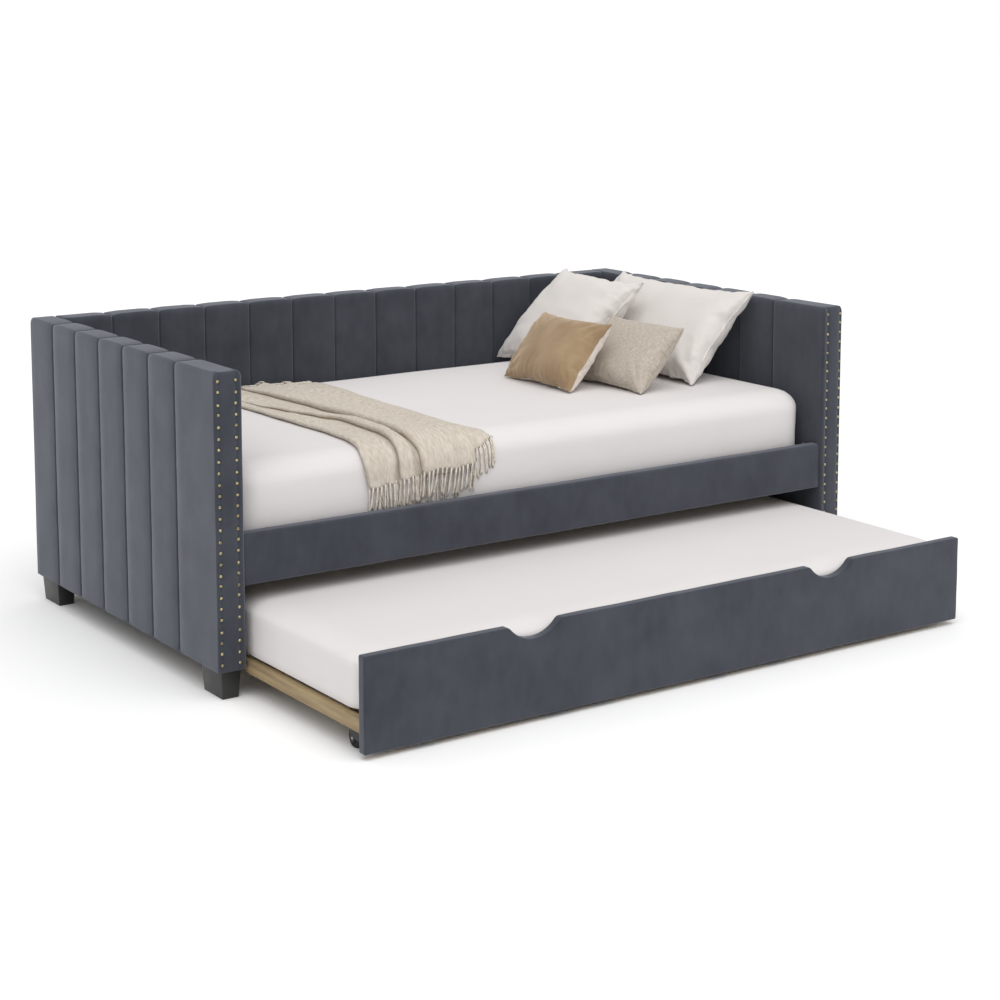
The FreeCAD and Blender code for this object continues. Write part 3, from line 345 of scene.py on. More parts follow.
def metal(name, bright, dull, rough, spot):
    """Plated or aged metal: bright where it is rubbed, dull in patches about spot metres across."""
    made, tree, output, place = new_material(name)
    tarnish = noise_at(tree, place, spot, 3)
    fine = noise_at(tree, place, 0.8 * MM, 1)
    age = steeper(tree, tarnish, 0.35, 0.65)
    surface(tree, output, {
        "Base Color": blend_colours(tree, age, bright, dull),
        "Metallic": 1.0,
        "Roughness": steeper(tree, age, 0, 1, rough, rough + 0.18),
        "Normal": bump(tree, fine, 0.05 * MM, 0.4)})
    return made


def moulded(name, tint, rough, grain):
    """Moulded plastic or rubber: a fine even grain under a little dust."""
    made, tree, output, place = new_material(name)
    pits = noise_at(tree, place, grain, 2)
    dust = noise_at(tree, place, 12 * MM, 3)
    surface(tree, output, {
        "Base Color": blend_colours(tree, dust, tint, [v * 1.5 + 0.004 for v in tint]),
        "Roughness": steeper(tree, dust, 0.3, 0.7, rough, rough + 0.15),
        "Normal": bump(tree, pits, 0.1 * MM, 0.5)})
    return made


# Each finish is made from its name and the colours in the settings.
FINISHES = {
    # polyester velvet, woven and brushed: nap patches a hand across, a soft bloom along the edges
    "grey_velvet": lambda name, tones: velvet(name, tones.velvet_dark, tones.velvet_light, 130 * MM, 0.36),
    # champagne velvet with a longer pile: broad patches and a stronger bloom
    "gold_velvet": lambda name, tones: velvet(name, tones.gold_dark, tones.gold_light, 260 * MM, 0.6),
    # cotton percale, woven and washed: matt and smooth, pulled taut
    "fitted_sheet": lambda name, tones: cotton(name, tones.sheet, 1.6 * MM),
    # the pillowcases' finer percale
    "pillow_cotton": lambda name, tones: cotton(name, tones.pillowcase, 1.4 * MM),
    # undyed linen, plain-woven, on the back of the gold cushion: pale, with fine slubs
    "cushion_reverse": lambda name, tones: slub_weave(name, shade(tones.gold_reverse, 0.9),
                                                      tones.gold_reverse, 1.5 * MM),
    # cotton ticking, densely woven, under the fitted sheets
    "ticking": lambda name, tones: slub_weave(name, tones.beige_light, tones.sheet, 2 * MM),
    # linen and cotton, plain-woven with slub yarn: a speckled, dry face
    "beige_weave": lambda name, tones: slub_weave(name, tones.beige_dark, tones.beige_light, 2 * MM),
    # acrylic and wool, woven as twill and brushed: soft ribs in a heathered yarn
    "throw_wool": lambda name, tones: twill(name, tones.throw_dark, tones.throw_light, 2.4 * MM),
    # the throw's own yarn, plied into tassels: painted lighter than the cloth, standing in for the light that
    # passes through it and for less shade between tassels
    "throw_yarn": lambda name, tones: yarn(name, tones.throw_light, shade(tones.throw_light, 1.15)),
    # cotton webbing, woven narrow and stapled to the slats
    "webbing": lambda name, tones: slub_weave(name, tones.beige_dark, tones.sheet, 2 * MM),
    # black spun polypropylene, stapled underneath: flat and dull
    "dust_cloth": lambda name, tones: moulded(name, tones.dust_cloth, 0.9, 1 * MM),
    # beech, sawn to a taper and sprayed with black lacquer: satin
    "black_lacquer": lambda name, tones: lacquer(name, tones.lacquer, 0.42),
    # brass-plated steel, stamped and tumbled: warm glints with dark specks
    "antique_brass": lambda name, tones: metal(name, tones.brass, shade(tones.brass, 0.35), 0.3, 5 * MM),
    # zinc-plated steel, pressed: a cool even grey
    "zinc_steel": lambda name, tones: metal(name, tones.zinc_bright, tones.zinc_dull, 0.32, 8 * MM),
    # nylon, injection-moulded: black with a low shine
    "caster_black": lambda name, tones: moulded(name, tones.caster_plastic, 0.45, 1.2 * MM),
    # thermoplastic rubber, moulded: black and matt
    "caster_rubber": lambda name, tones: moulded(name, tones.caster_tread, 0.75, 1.5 * MM),
    # pine, planed and left bare: pale, with straight grain along each board
    "pale_timber_along_x": lambda name, tones: timber(name, tones.pine_dark, tones.pine_light, 0, 0.6),
    "pale_timber_along_y": lambda name, tones: timber(name, tones.pine_dark, tones.pine_light, 1, 0.6),
    # pine, sawn, inside the upholstery: the same wood with a rougher face
    "frame_timber_along_x": lambda name, tones: timber(name, tones.pine_dark, tones.pine_light, 0, 0.7),
    "frame_timber_along_y": lambda name, tones: timber(name, tones.pine_dark, tones.pine_light, 1, 0.7),
}
MADE = {}


def finish(name):
    """The material of a finish, made when it is first asked for."""
    if name not in MADE:
        MADE[name] = FINISHES[name](name, bpy.context.scene.bed_finishes)
    return MADE[name]


# ---- shapes -------------------------------------------------------------------------------------

# a rounded edge is cut at these angles, as shares of its radius
SHARES = [math.tan(math.radians(degrees)) for degrees in (0, 15, 30)]


def cuts(low, high, near, far, step, extra=()):
    """Places to cut a side at: even round its rounded ends, at the extra places, and every step between."""
    chosen = [low + near * (1 - share) for share in SHARES] + [high - far * (1 - share) for share in SHARES]
    for mark in extra:
        if all(abs(mark - other) > 0.4 * MM for other in chosen):
            chosen.append(mark)
    count = max(1, round((high - low - near - far) / step))
    for number in range(1, count):
        mark = low + near + (high - low - near - far) * number / count
        if all(abs(mark - other) > 0.4 * step for other in chosen):
            chosen.append(mark)
    return sorted(mark for mark in chosen if low + 0.1 * MM < mark < high - 0.1 * MM)


def cut_block(low, high, places):
    """A box between two corners, cut across at places along x, y and z."""
    bm = bmesh.new()
    bmesh.ops.create_cube(bm, size=1)
    bmesh.ops.scale(bm, vec=high - low, verts=bm.verts)
    bmesh.ops.translate(bm, vec=(low + high) / 2, verts=bm.verts)
    for axis in sorted(range(3), key=lambda k: len(places[k])):
        for mark in places[axis]:
            bmesh.ops.bisect_plane(bm, geom=bm.verts[:] + bm.edges[:] + bm.faces[:], dist=1e-6,
                                   plane_co=AXES[axis] * mark, plane_no=AXES[axis])
    return bm


def round_off(bm, low, high, near, far):
    """Round a cut box: near and far are its radii along x, y and z at the low and at the high corner."""
    for vert in bm.verts:
        core = vert.co.copy()
        lean = Vector((0, 0, 0))
        radii = Vector((0, 0, 0))
        for axis in range(3):
            if vert.co[axis] < low[axis] + near[axis]:
                core[axis] = low[axis] + near[axis]
                radii[axis] = near[axis]
            elif vert.co[axis] > high[axis] - far[axis]:
                core[axis] = high[axis] - far[axis]
                radii[axis] = far[axis]
            if radii[axis]:
                lean[axis] = (vert.co[axis] - core[axis]) / radii[axis]
        if lean.length > 0:
            lean.normalize()
            vert.co = core + Vector([lean[k] * radii[k] for k in range(3)])


def padded_block(low, high, near, far, steps, extra=((), (), ())):
    """A rounded box with a grid of faces fine enough to shape."""
    places = [cuts(low[k], high[k], near[k], far[k], steps[k], extra[k]) for k in range(3)]
    bm = cut_block(low, high, places)
    round_off(bm, low, high, near, far)
    bm.normal_update()
    return bm


def swell(place, size, seed=0.0):
    """Slow unevenness of hand-stuffed padding, from -1 to 1."""
    return noise.noise(Vector(place) / size + Vector((seed, 2 * seed, 3 * seed)))


def new_piece(name, bm):
    """Put a bmesh into the scene as an object."""
    mesh = bpy.data.meshes.new(name)
    bm.to_mesh(mesh)
    bm.free()
    piece = bpy.data.objects.new(name, mesh)
    bpy.context.scene.collection.objects.link(piece)
    return piece


def make_object(name, bm, materials, body, node):
    """Turn a bmesh into a finished piece that rides on a body and stands for a CAD node."""
    piece = new_piece(name, bm)
    dress(piece, materials, body, node)
    return piece


def dress(piece, materials, body, node):
    """Give a piece its finishes, the body that it rides on and the node that it stands for."""
    piece.data.shade_smooth()
    for material in materials:
        piece.data.materials.append(finish(material))
    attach(piece, body)
    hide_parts(node)


def refine(piece, kind, name, **settings):
    """Add a modifier with its settings."""
    modifier = piece.modifiers.new(name, kind)
    for key, value in settings.items():
        setattr(modifier, key, value)
    return modifier


# ---- velvet covers ------------------------------------------------------------------------------

VELVET = ["grey_velvet", "dust_cloth"]
# radius at the ends that butt against the arms
END_ROUND = 1.5 * MM
# how far the hand-stuffed padding swells and sinks
UNEVEN = 0.9 * MM
# distances from a seam at which a cover is cut, in millimetres
BESIDE_SEAM = [0, 1.1, 2.2, 3.6, 6, 10, 17, 28, 42]
# faces that look down more steeply than this wear the dust cloth
FACES_DOWN = -0.7


def seam_marks(seams):
    return [seam + way * gap * MM for seam in seams for gap in BESIDE_SEAM for way in (-1, 1)]


def channel_dip(along, height, seams, sizes):
    """How far a channelled cover dips at a place along it: the stitched groove and the roll beside it."""
    gap, seam = min((abs(along - seam), seam) for seam in seams)
    groove = sizes.groove_depth * math.exp(-(gap / sizes.groove_width) ** 2)
    roll = sizes.roll_depth * max(0, 1 - gap / sizes.roll_width) ** 2.2
    # gathers follow each other every 16 mm down a seam and die out as far from it
    pitch = 16 * MM
    gather = sizes.pucker * noise.noise(Vector((height / pitch, seam * 50, gap / (30 * MM))))
    return groove + roll + gather * math.exp(-gap / pitch)


def dress_underside(bm):
    """Give the faces that look down the second material, the dust cloth."""
    bm.normal_update()
    for face in bm.faces:
        if face.normal.z < FACES_DOWN:
            face.material_index = 1


NAIL_GAPS = 25
# a row of nailheads is this many times as long as a nailhead's radius
ROW_IN_RADII = 168


def nail_rows(low, high):
    """A nailhead's radius, the x of both rows and the z of every nailhead, from the box of an arm's nails."""
    radius = (high.z - low.z) / ROW_IN_RADII
    step = (high.z - low.z - 2 * radius) / NAIL_GAPS
    marks = [low.z + radius + step * number for number in range(NAIL_GAPS + 1)]
    return radius, (low.x + radius, high.x - radius), marks


def shape_arm(bm, seams, nail_lines, nail_marks, sizes, low, seed):
    """Channels round the arm's sides and top, and the pinched rows of nailheads on its face."""
    nail_step = nail_marks[1] - nail_marks[0]
    pinch, shoulder, hem = 3.2 * MM, 9 * MM, 20 * MM
    for vert in bm.verts:
        normal = vert.normal.copy()
        side = (1 - normal.y ** 2) * (1 + min(0, normal.z))
        move = -channel_dip(vert.co.y, vert.co.z, seams, sizes) * side
        move += UNEVEN * swell(vert.co, 0.16, seed) * side
        if normal.y < -0.2:
            gap = min(abs(vert.co.x - line) for line in nail_lines)
            between = 0.5 - 0.5 * math.cos(2 * math.pi * (vert.co.z - nail_marks[0]) / nail_step)
            press = math.exp(-(gap / pinch) ** 2)
            crown = 1 - math.exp(-(gap / shoulder) ** 2)
            inside = min(1, (vert.co.z - low.z) / hem)
            move += -normal.y * inside * (sizes.face_crown * crown
                                          - sizes.nail_groove * press * (1 - 0.35 * between))
        vert.co += normal * move


class BED_OT_arms(bpy.types.Operator):
    """Build the channelled velvet covers of the two arms"""
    bl_idname = "trundle_bed.arms"
    bl_label = "Arms"

    def execute(self, context):
        sizes = context.scene.bed_upholstery
        for name, side in SIDES.items():
            low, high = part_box(f"{name}_arm_cover")
            _, nail_lines, nail_marks = nail_rows(*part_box(f"{name}_arm_nails"))
            nail_step = nail_marks[1] - nail_marks[0]
            # even channels from the back, and a wider one at the front
            seams = [high.y - sizes.arm_channel * number for number in range(1, sizes.arm_seams + 1)]
            near = Vector((sizes.side_round, sizes.side_round * 0.8, sizes.hem_round))
            far = Vector((sizes.side_round, sizes.side_round * 0.6, sizes.top_round))
            across = [line + way * gap * MM for line in nail_lines for gap in (0, 2, 4, 7, 12)
                      for way in (-1, 1)]
            bm = padded_block(low, high, near, far, (9 * MM, 26 * MM, nail_step / 4),
                              (across, seam_marks(seams), nail_marks))
            shape_arm(bm, seams, nail_lines, nail_marks, sizes, low, side)
            dress_underside(bm)
            piece = make_object(f"{name}_arm_upholstery", bm, VELVET, "bed", f"{name}_arm_cover")
        return {"FINISHED"}


class BED_OT_back(bpy.types.Operator):
    """Build the channelled velvet cover of the back"""
    bl_idname = "trundle_bed.back"
    bl_label = "Back"

    def execute(self, context):
        sizes = context.scene.bed_upholstery
        low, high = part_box("back_cover")
        pitch = (high.x - low.x) / sizes.back_channels
        seams = [low.x + pitch * number for number in range(1, sizes.back_channels)]
        near = Vector((END_ROUND, sizes.side_round, sizes.hem_round))
        far = Vector((END_ROUND, sizes.side_round, sizes.top_round))
        bm = padded_block(low, high, near, far, (26 * MM, 10 * MM, 12 * MM), (seam_marks(seams), (), ()))
        for vert in bm.verts:
            normal = vert.normal.copy()
            side = (1 - normal.x ** 2) * (1 - max(0, normal.y) ** 2) * (1 + min(0, normal.z))
            move = -channel_dip(vert.co.x, vert.co.z, seams, sizes) * side
            vert.co += normal * (move + UNEVEN * swell(vert.co, 0.16) * (1 - normal.x ** 2))
        dress_underside(bm)
        piece = make_object("back_upholstery", bm, VELVET, "bed", "back_cover")
        return {"FINISHED"}


class BED_OT_front_rail(bpy.types.Operator):
    """Build the velvet cover of the front rail"""
    bl_idname = "trundle_bed.front_rail"
    bl_label = "Front rail"

    def execute(self, context):
        low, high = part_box("front_rail_cover")
        radius = 8 * MM
        near = Vector((END_ROUND, radius, radius))
        bm = padded_block(low, high, near, near, (18 * MM, 9 * MM, 10 * MM))
        for vert in bm.verts:
            drape = swell((vert.co.x, vert.co.y, vert.co.z * 3), 0.11, 4)
            vert.co += vert.normal * 0.8 * MM * (drape - 0.4) * (1 - vert.normal.x ** 2)
        piece = make_object("front_rail_upholstery", bm, VELVET[:1], "bed", "front_rail_cover")
        return {"FINISHED"}


# the two finger cut-outs: from middle to middle, radius of the scoop and its depth
GRIP_SPACING = 964 * MM
GRIP_RADIUS = 96 * MM
GRIP_DEPTH = 38 * MM
# the panel is cut finely as far as this from the middle of a cut-out, in this many steps
GRIP_REACH = 100 * MM
GRIP_STEPS = 28


def grip_fall(x, shoulder):
    """How far the panel's top edge falls at x: a scoop with rounded shoulders at each finger cut-out."""
    from_middle = abs(abs(x) - GRIP_SPACING / 2)
    rise = GRIP_RADIUS - GRIP_DEPTH
    reach = math.sqrt((GRIP_RADIUS + shoulder) ** 2 - (rise + shoulder) ** 2)
    meets = reach * GRIP_RADIUS / (GRIP_RADIUS + shoulder)
    if from_middle >= reach:
        return 0.0
    if from_middle > meets:
        return shoulder - math.sqrt(shoulder ** 2 - (from_middle - reach) ** 2)
    return math.sqrt(GRIP_RADIUS ** 2 - from_middle ** 2) - rise


class BED_OT_trundle_panel(bpy.types.Operator):
    """Build the velvet cover of the trundle's front panel with its two finger cut-outs"""
    bl_idname = "trundle_bed.trundle_panel"
    bl_label = "Trundle panel"

    def execute(self, context):
        sizes = context.scene.bed_upholstery
        low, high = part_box("trundle_front_cover")
        radius = 5 * MM
        near = Vector((radius, radius, radius))
        fine = [side * GRIP_SPACING / 2 + GRIP_REACH * number / GRIP_STEPS for side in (-1, 1)
                for number in range(-GRIP_STEPS, GRIP_STEPS + 1)]
        bm = padded_block(low, high, near, near, (24 * MM, 7 * MM, 10 * MM), (fine, (), ()))
        middle = (low.z + high.z) / 2
        for vert in bm.verts:
            drape = swell((vert.co.x, vert.co.y, vert.co.z * 2), 0.09, 7)
            vert.co += vert.normal * 0.7 * MM * (drape - 0.4)
            share = (vert.co.z - middle) / (high.z - middle)
            if share > 0:
                vert.co.z -= grip_fall(vert.co.x, sizes.grip_shoulder) * min(1, share)
        piece = make_object("trundle_panel_upholstery", bm, VELVET[:1], "trundle", "trundle_front_cover")
        return {"FINISHED"}


# ---- nailheads and legs -------------------------------------------------------------------------

class BED_OT_nailheads(bpy.types.Operator):
    """Set two rows of domed nailheads in the face of each arm"""
    bl_idname = "trundle_bed.nailheads"
    bl_label = "Nailheads"

    def execute(self, context):
        rng = random.Random(7)
        for name in SIDES:
            low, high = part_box(f"{name}_arm_nails")
            radius, lines, marks = nail_rows(low, high)
            height = high.y - low.y
            bm = bmesh.new()
            for line in lines:
                for mark in marks:
                    # hammered in by hand, so each sits a little off its place and leans
                    slip = Vector((rng.uniform(-0.6, 0.6), 0, rng.uniform(-2.2, 2.2))) * MM
                    if mark in (marks[0], marks[-1]):
                        slip = Vector((0, 0, 0))
                    tilt = Matrix.Rotation(rng.uniform(-0.12, 0.12), 4, "X")
                    place = Matrix.Translation(Vector((line, high.y, mark)) + slip)
                    lay = Matrix.Rotation(math.radians(90), 4, "X")
                    shape = Matrix.Diagonal((radius, radius, height, 1))
                    nail = bmesh.ops.create_uvsphere(bm, u_segments=12, v_segments=8, radius=1,
                                                     matrix=place @ tilt @ lay @ shape)
                    below = [vert for vert in nail["verts"] if vert.co.y > high.y + 0.3 * MM]
                    bmesh.ops.delete(bm, geom=below, context="VERTS")
            rims = [edge for edge in bm.edges if edge.is_boundary]
            bmesh.ops.holes_fill(bm, edges=rims)
            bmesh.ops.recalc_face_normals(bm, faces=bm.faces)
            make_object(f"{name}_arm_nailheads", bm, ["antique_brass"], "bed", f"{name}_arm_nails")
        return {"FINISHED"}


class BED_OT_legs(bpy.types.Operator):
    """Build the four tapered lacquered legs"""
    bl_idname = "trundle_bed.legs"
    bl_label = "Legs"

    def execute(self, context):
        taper = 5 * MM
        for end in ("front", "rear"):
            for side in SIDES:
                node = f"leg_{end}_{side}"
                low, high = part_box(node)
                bm = bmesh.new()
                bmesh.ops.create_cube(bm, size=1)
                bmesh.ops.scale(bm, vec=high - low, verts=bm.verts)
                bmesh.ops.translate(bm, vec=(low + high) / 2, verts=bm.verts)
                centre = (low + high) / 2
                for vert in bm.verts:
                    if vert.co.z < centre.z:
                        vert.co.x -= math.copysign(taper, vert.co.x - centre.x)
                        vert.co.y -= math.copysign(taper, vert.co.y - centre.y)
                bmesh.ops.bevel(bm, geom=bm.edges[:], offset=1.8 * MM, segments=3, profile=0.5,
                                affect="EDGES", material=-1)
                make_object(f"{node}_turned", bm, ["black_lacquer"], "bed", node)
        return {"FINISHED"}


# ---- mattresses and fitted sheets -----------------------------------------------------------------

def mattress_form(low, high, edge, corner, step):
    """A mattress's rounded block with soft, slightly uneven sides."""
    foot, fall, reach, ripple_depth = 12 * MM, 3.5 * MM, 90 * MM, 2.2 * MM
    near = Vector((corner, corner, foot))
    far = Vector((corner, corner, edge))
    bm = padded_block(low, high, near, far, (step, step, 0.7 * step))
    span = high - low
    for vert in bm.verts:
        across = min(vert.co.x - low.x, high.x - vert.co.x, vert.co.y - low.y, high.y - vert.co.y)
        rim = math.exp(-across / reach)
        top = max(0, vert.normal.z)
        side = 1 - abs(vert.normal.z)
        hollow = swell((vert.co.x, vert.co.y, 0), 0.34, 3) - 0.5
        vert.co.z += (1.6 * MM * hollow - fall * rim) * top
        ripple = swell((vert.co.x * 1.6, vert.co.y * 1.6, vert.co.z * 0.35), 0.12, span.x)
        vert.co += Vector((vert.normal.x, vert.normal.y, 0)) * (ripple_depth * (ripple - 0.35)) * side
    bm.normal_update()
    return bm


def sheet_corner_folds(bm, low, high, corner):
    """Pull short tucks into the sheet round the mattress's upright corners."""
    for vert in bm.verts:
        for end_x in (low.x, high.x):
            for end_y in (low.y, high.y):
                out = Vector((vert.co.x - end_x, vert.co.y - end_y, 0))
                near = math.exp(-(out.length / (2.2 * corner)) ** 2)
                if near < 0.02:
                    continue
                turn = math.atan2(abs(out.y), abs(out.x))
                fall = (high.z - vert.co.z) / (high.z - low.z)
                tuck = math.sin(9 * turn + 6 * fall) * near * math.sin(math.pi * min(1, max(0, fall)))
                vert.co += vert.normal * 1.3 * MM * tuck
    bm.normal_update()


def build_mattress(name, node, body, edge, step, sizes):
    """A ticking-covered mattress, and over it a fitted sheet with its hem tucked under."""
    low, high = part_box(node)
    gap = sizes.sheet_thick + 0.8 * MM
    inset = Vector((gap, gap, gap))
    core = mattress_form(low + Vector((gap, gap, 0)), high - inset, edge, sizes.corner_round, 2.5 * step)
    piece = make_object(f"{name}_ticking", core, ["ticking"], body, node)
    bm = mattress_form(low + Vector((0, 0, 0.2 * MM)), high, edge, sizes.corner_round, step)
    sheet_corner_folds(bm, low, high, sizes.corner_round)
    under = [face for face in bm.faces if face.normal.z < -0.99
             and low.x + sizes.tuck < face.calc_center_median().x < high.x - sizes.tuck
             and low.y + sizes.tuck < face.calc_center_median().y < high.y - sizes.tuck]
    bmesh.ops.delete(bm, geom=under, context="FACES")
    sheet = make_object(f"{name}_fitted_sheet", bm, ["fitted_sheet"], body, node)
    refine(sheet, "SOLIDIFY", "Cloth", thickness=sizes.sheet_thick, offset=-1)


class BED_OT_mattresses(bpy.types.Operator):
    """Build both mattresses in their fitted sheets"""
    bl_idname = "trundle_bed.mattresses"
    bl_label = "Mattresses"

    def execute(self, context):
        sizes = context.scene.bed_bedding
        step = 20 * MM
        build_mattress("daybed", "daybed_mattress", "bed", sizes.edge_round, step, sizes)
        build_mattress("trundle", "trundle_mattress", "trundle", sizes.trundle_edge_round, step, sizes)
        return {"FINISHED"}


# ---- pillows ------------------------------------------------------------------------------------

# an envelope is cut this much larger than the pillow, because stuffing draws it in
CUT_FULL = 1.03
# how far the sewn seam stands proud of the panels
SEAM_RIDGE = 3.2 * MM


def sewn_envelope(width, tall, thick, step):
    """Two panels cut a little full and sewn round their edge, with pointed corners.  Its UV map is the flat
    cloth, in metres.  Returns the seam's vertices too."""
    half = Vector((width / 2, tall / 2, 3 * MM))
    places = [cuts(-half[k], half[k], 2 * MM, 2 * MM, step) for k in (0, 1)]
    bm = cut_block(-half, half, [*places, [0]])
    flat = bm.loops.layers.uv.new("UVMap")
    for face in bm.faces:
        face.material_index = int(face.calc_center_median().z < 0)
        for loop in face.loops:
            loop[flat].uv = (loop.vert.co.x, loop.vert.co.y)
    bm.verts.index_update()
    seam = [vert.index for vert in bm.verts if abs(vert.co.z) < 0.1 * MM]
    for vert in bm.verts:
        u, v = vert.co.x / half.x, vert.co.y / half.y
        dome = max(0, 1 - abs(u) ** 2.4) * max(0, 1 - abs(v) ** 2.4)
        if abs(vert.co.z) > 0.1 * MM:
            vert.co.z += math.copysign(0.36 * thick * dome ** 0.55, vert.co.z)
        vert.co.x *= 1 - 0.025 * (1 - v * v) * abs(u) ** 3
        vert.co.y *= 1 - 0.035 * (1 - u * u) * abs(v) ** 3
        vert.co.z += 0.8 * MM * noise.noise(Vector((u * 7, v * 5, vert.co.z * 900)))
    return bm, seam


def stuff(piece):
    """Blow the envelope up with the cloth simulation, and keep the result as the piece's mesh."""
    frames = 14
    cloth = piece.modifiers.new("Stuffing", "CLOTH")
    fabric = cloth.settings
    fabric.quality = 6
    fabric.mass = 0.25
    fabric.tension_stiffness = fabric.compression_stiffness = 20
    fabric.shear_stiffness = 8
    fabric.bending_stiffness = 0.08
    fabric.tension_damping = fabric.compression_damping = fabric.shear_damping = 8
    fabric.use_pressure = True
    fabric.uniform_pressure_force = 2.2
    fabric.effector_weights.gravity = 0
    cloth.collision_settings.use_collision = False
    cloth.point_cache.frame_start = 1
    cloth.point_cache.frame_end = frames
    scene = bpy.context.scene
    for number in range(1, frames + 1):
        scene.frame_set(number)
    shaped = piece.evaluated_get(bpy.context.evaluated_depsgraph_get())
    mesh = bpy.data.meshes.new_from_object(shaped)
    piece.modifiers.clear()
    piece.data = mesh
    scene.frame_set(1)


def crease_pillow(mesh, seam, width, tall, depth, seed):
    """Creases fanning out of the corners, gathers along the seam, and the seam's own thin ridge."""
    normals = [vert.normal.copy() for vert in mesh.vertices]
    for vert, normal in zip(mesh.vertices, normals):
        x, y = vert.co.x, vert.co.y
        right, above = width / 2 - abs(x), tall / 2 - abs(y)
        side = seed + (x > 0) * 3 + (y > 0) * 5 + (vert.co.z > 0) * 7
        reach = math.hypot(right, above)
        turn = math.atan2(max(0, above), max(0, right))
        fan = math.sin(11 * turn + 2.5 * noise.noise(Vector((reach * 14, turn, side))))
        fan *= math.exp(-((reach - 0.22 * tall) / (0.2 * tall)) ** 2)
        edge = max(0, min(right, above))
        run = y if right < above else x
        gather = noise.noise(Vector((run / (13 * MM), side, edge / (45 * MM))))
        gather *= math.exp(-edge / (38 * MM)) * (1 - math.exp(-edge / (7 * MM)))
        slack = noise.noise(Vector((x / 0.11 + side, y / 0.07, side)))
        vert.co += normal * depth * (0.55 * fan + 1.1 * gather + 0.6 * slack)
    for index in seam:
        out = Vector((normals[index].x, normals[index].y, 0))
        mesh.vertices[index].co += out * SEAM_RIDGE


def build_pillow(name, node, materials, thick, turn, crease, step):
    """Sew, stuff and lean one pillow into the place of its CAD solid.  Its foot edge lies on the mattress
    and its head edge leans to the right; turn is about the vertical, and crease is a depth in
    millimetres."""
    low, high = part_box(node)
    foot = Vector((low.x, (low.y + high.y) / 2, low.z))
    rise = Vector((high.x - low.x, 0, high.z - low.z))
    width, tall = high.y - low.y, rise.length
    bm, seam = sewn_envelope(width * CUT_FULL, tall * CUT_FULL, thick, step)
    piece = new_piece(name, bm)
    stuff(piece)
    mesh = piece.data
    crease_pillow(mesh, seam, width, tall, crease * MM, len(name))
    spans = [max(v.co[k] for v in mesh.vertices) - min(v.co[k] for v in mesh.vertices) for k in range(3)]
    mesh.transform(Matrix.Diagonal((width / spans[0], tall / spans[1], thick / spans[2], 1)))
    # local x runs along the foot towards -Y, local y up the pillow, local z out of its face
    up = rise.normalized()
    face = Vector((-up.z, 0, up.x))
    basis = Matrix((Vector((0, -1, 0)), up, face)).transposed().to_4x4()
    place = Matrix.Translation(foot) @ Matrix.Rotation(turn, 4, "Z") @ basis
    mesh.transform(place @ Matrix.Translation((0, tall / 2, 0)))
    # what would sink into the mattress is pressed flat on it instead
    soft = 6 * MM
    for vert in mesh.vertices:
        if vert.co.z < low.z + soft:
            vert.co.z = low.z + soft * math.exp((vert.co.z - low.z - soft) / soft)
    dress(piece, materials, "bed", node)
    refine(piece, "SUBSURF", "Smooth", levels=1, render_levels=1)


class BED_OT_pillows(bpy.types.Operator):
    """Sew and stuff the two white pillows and the two small cushions"""
    bl_idname = "trundle_bed.pillows"
    bl_label = "Pillows"

    def execute(self, context):
        sizes = context.scene.bed_bedding
        linen, gold = ["beige_weave", "beige_weave"], ["gold_velvet", "cushion_reverse"]
        for name, turn in (("rear", 0), ("front", -4)):
            build_pillow(f"{name}_pillow", f"white_pillow_{name}", ["pillow_cotton", "pillow_cotton"],
                         sizes.pillow_thick, math.radians(turn), 7.0, 9 * MM)
        build_pillow("beige_woven_cushion", "beige_cushion", linen, sizes.cushion_thick,
                     0, 3.4, 6 * MM)
        build_pillow("gold_velvet_cushion", "gold_cushion", gold, sizes.cushion_thick,
                     0, 5.0, 6 * MM)
        return {"FINISHED"}


# ---- throw --------------------------------------------------------------------------------------

class ThrowLay:
    """How the throw lies: s runs from its back end to the front and down over the mattress's edge, x along
    the bed, h out from the fitted sheet."""

    def __init__(self, sizes, sheet):
        low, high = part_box("daybed_mattress")
        lay_low, lay_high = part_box("throw")
        self.radius = sizes.edge_round
        self.front = low.y
        self.top = high.z
        self.back = lay_high.y
        self.rear = high.y
        self.left = lay_low.x
        self.flat = self.back - (self.front + self.radius)
        self.bend = self.radius * math.pi / 2
        self.below = BVHTree.FromObject(sheet, bpy.context.evaluated_depsgraph_get())

    def rest(self, x, s):
        """Place on the ideal mattress, and the way out from it."""
        turn = self.back - (self.rear - self.radius)
        if s < turn:
            angle = min(turn - s, self.bend) / self.radius
            out = Vector((0, math.sin(angle), math.cos(angle)))
            return Vector((x, self.rear - self.radius, self.top - self.radius)) + out * self.radius, out
        if s < self.flat:
            return Vector((x, self.back - s, self.top)), AXES[2]
        angle = min(s - self.flat, self.bend) / self.radius
        out = Vector((0, -math.sin(angle), math.cos(angle)))
        centre = Vector((x, self.front + self.radius, self.top - self.radius))
        return centre + out * self.radius - AXES[2] * max(0, s - self.flat - self.bend), out

    def point(self, x, s, h):
        """Place of the cloth h out from the sheet under it."""
        place, out = self.rest(x, s)
        hit = self.below.ray_cast(place + out * 30 * MM, -out)[0]
        return (hit if hit else place) + out * h


def smooth(value, low, high):
    share = min(1, max(0, (value - low) / (high - low)))
    return share * share * (3 - 2 * share)


def along(line, s):
    """Value at s of a smooth line through (s, value) pairs."""
    if s <= line[0][0]:
        return line[0][1]
    for (start, first), (end, last) in zip(line, line[1:]):
        if s <= end:
            return first + (last - first) * smooth(s, start, end)
    return line[-1][1]


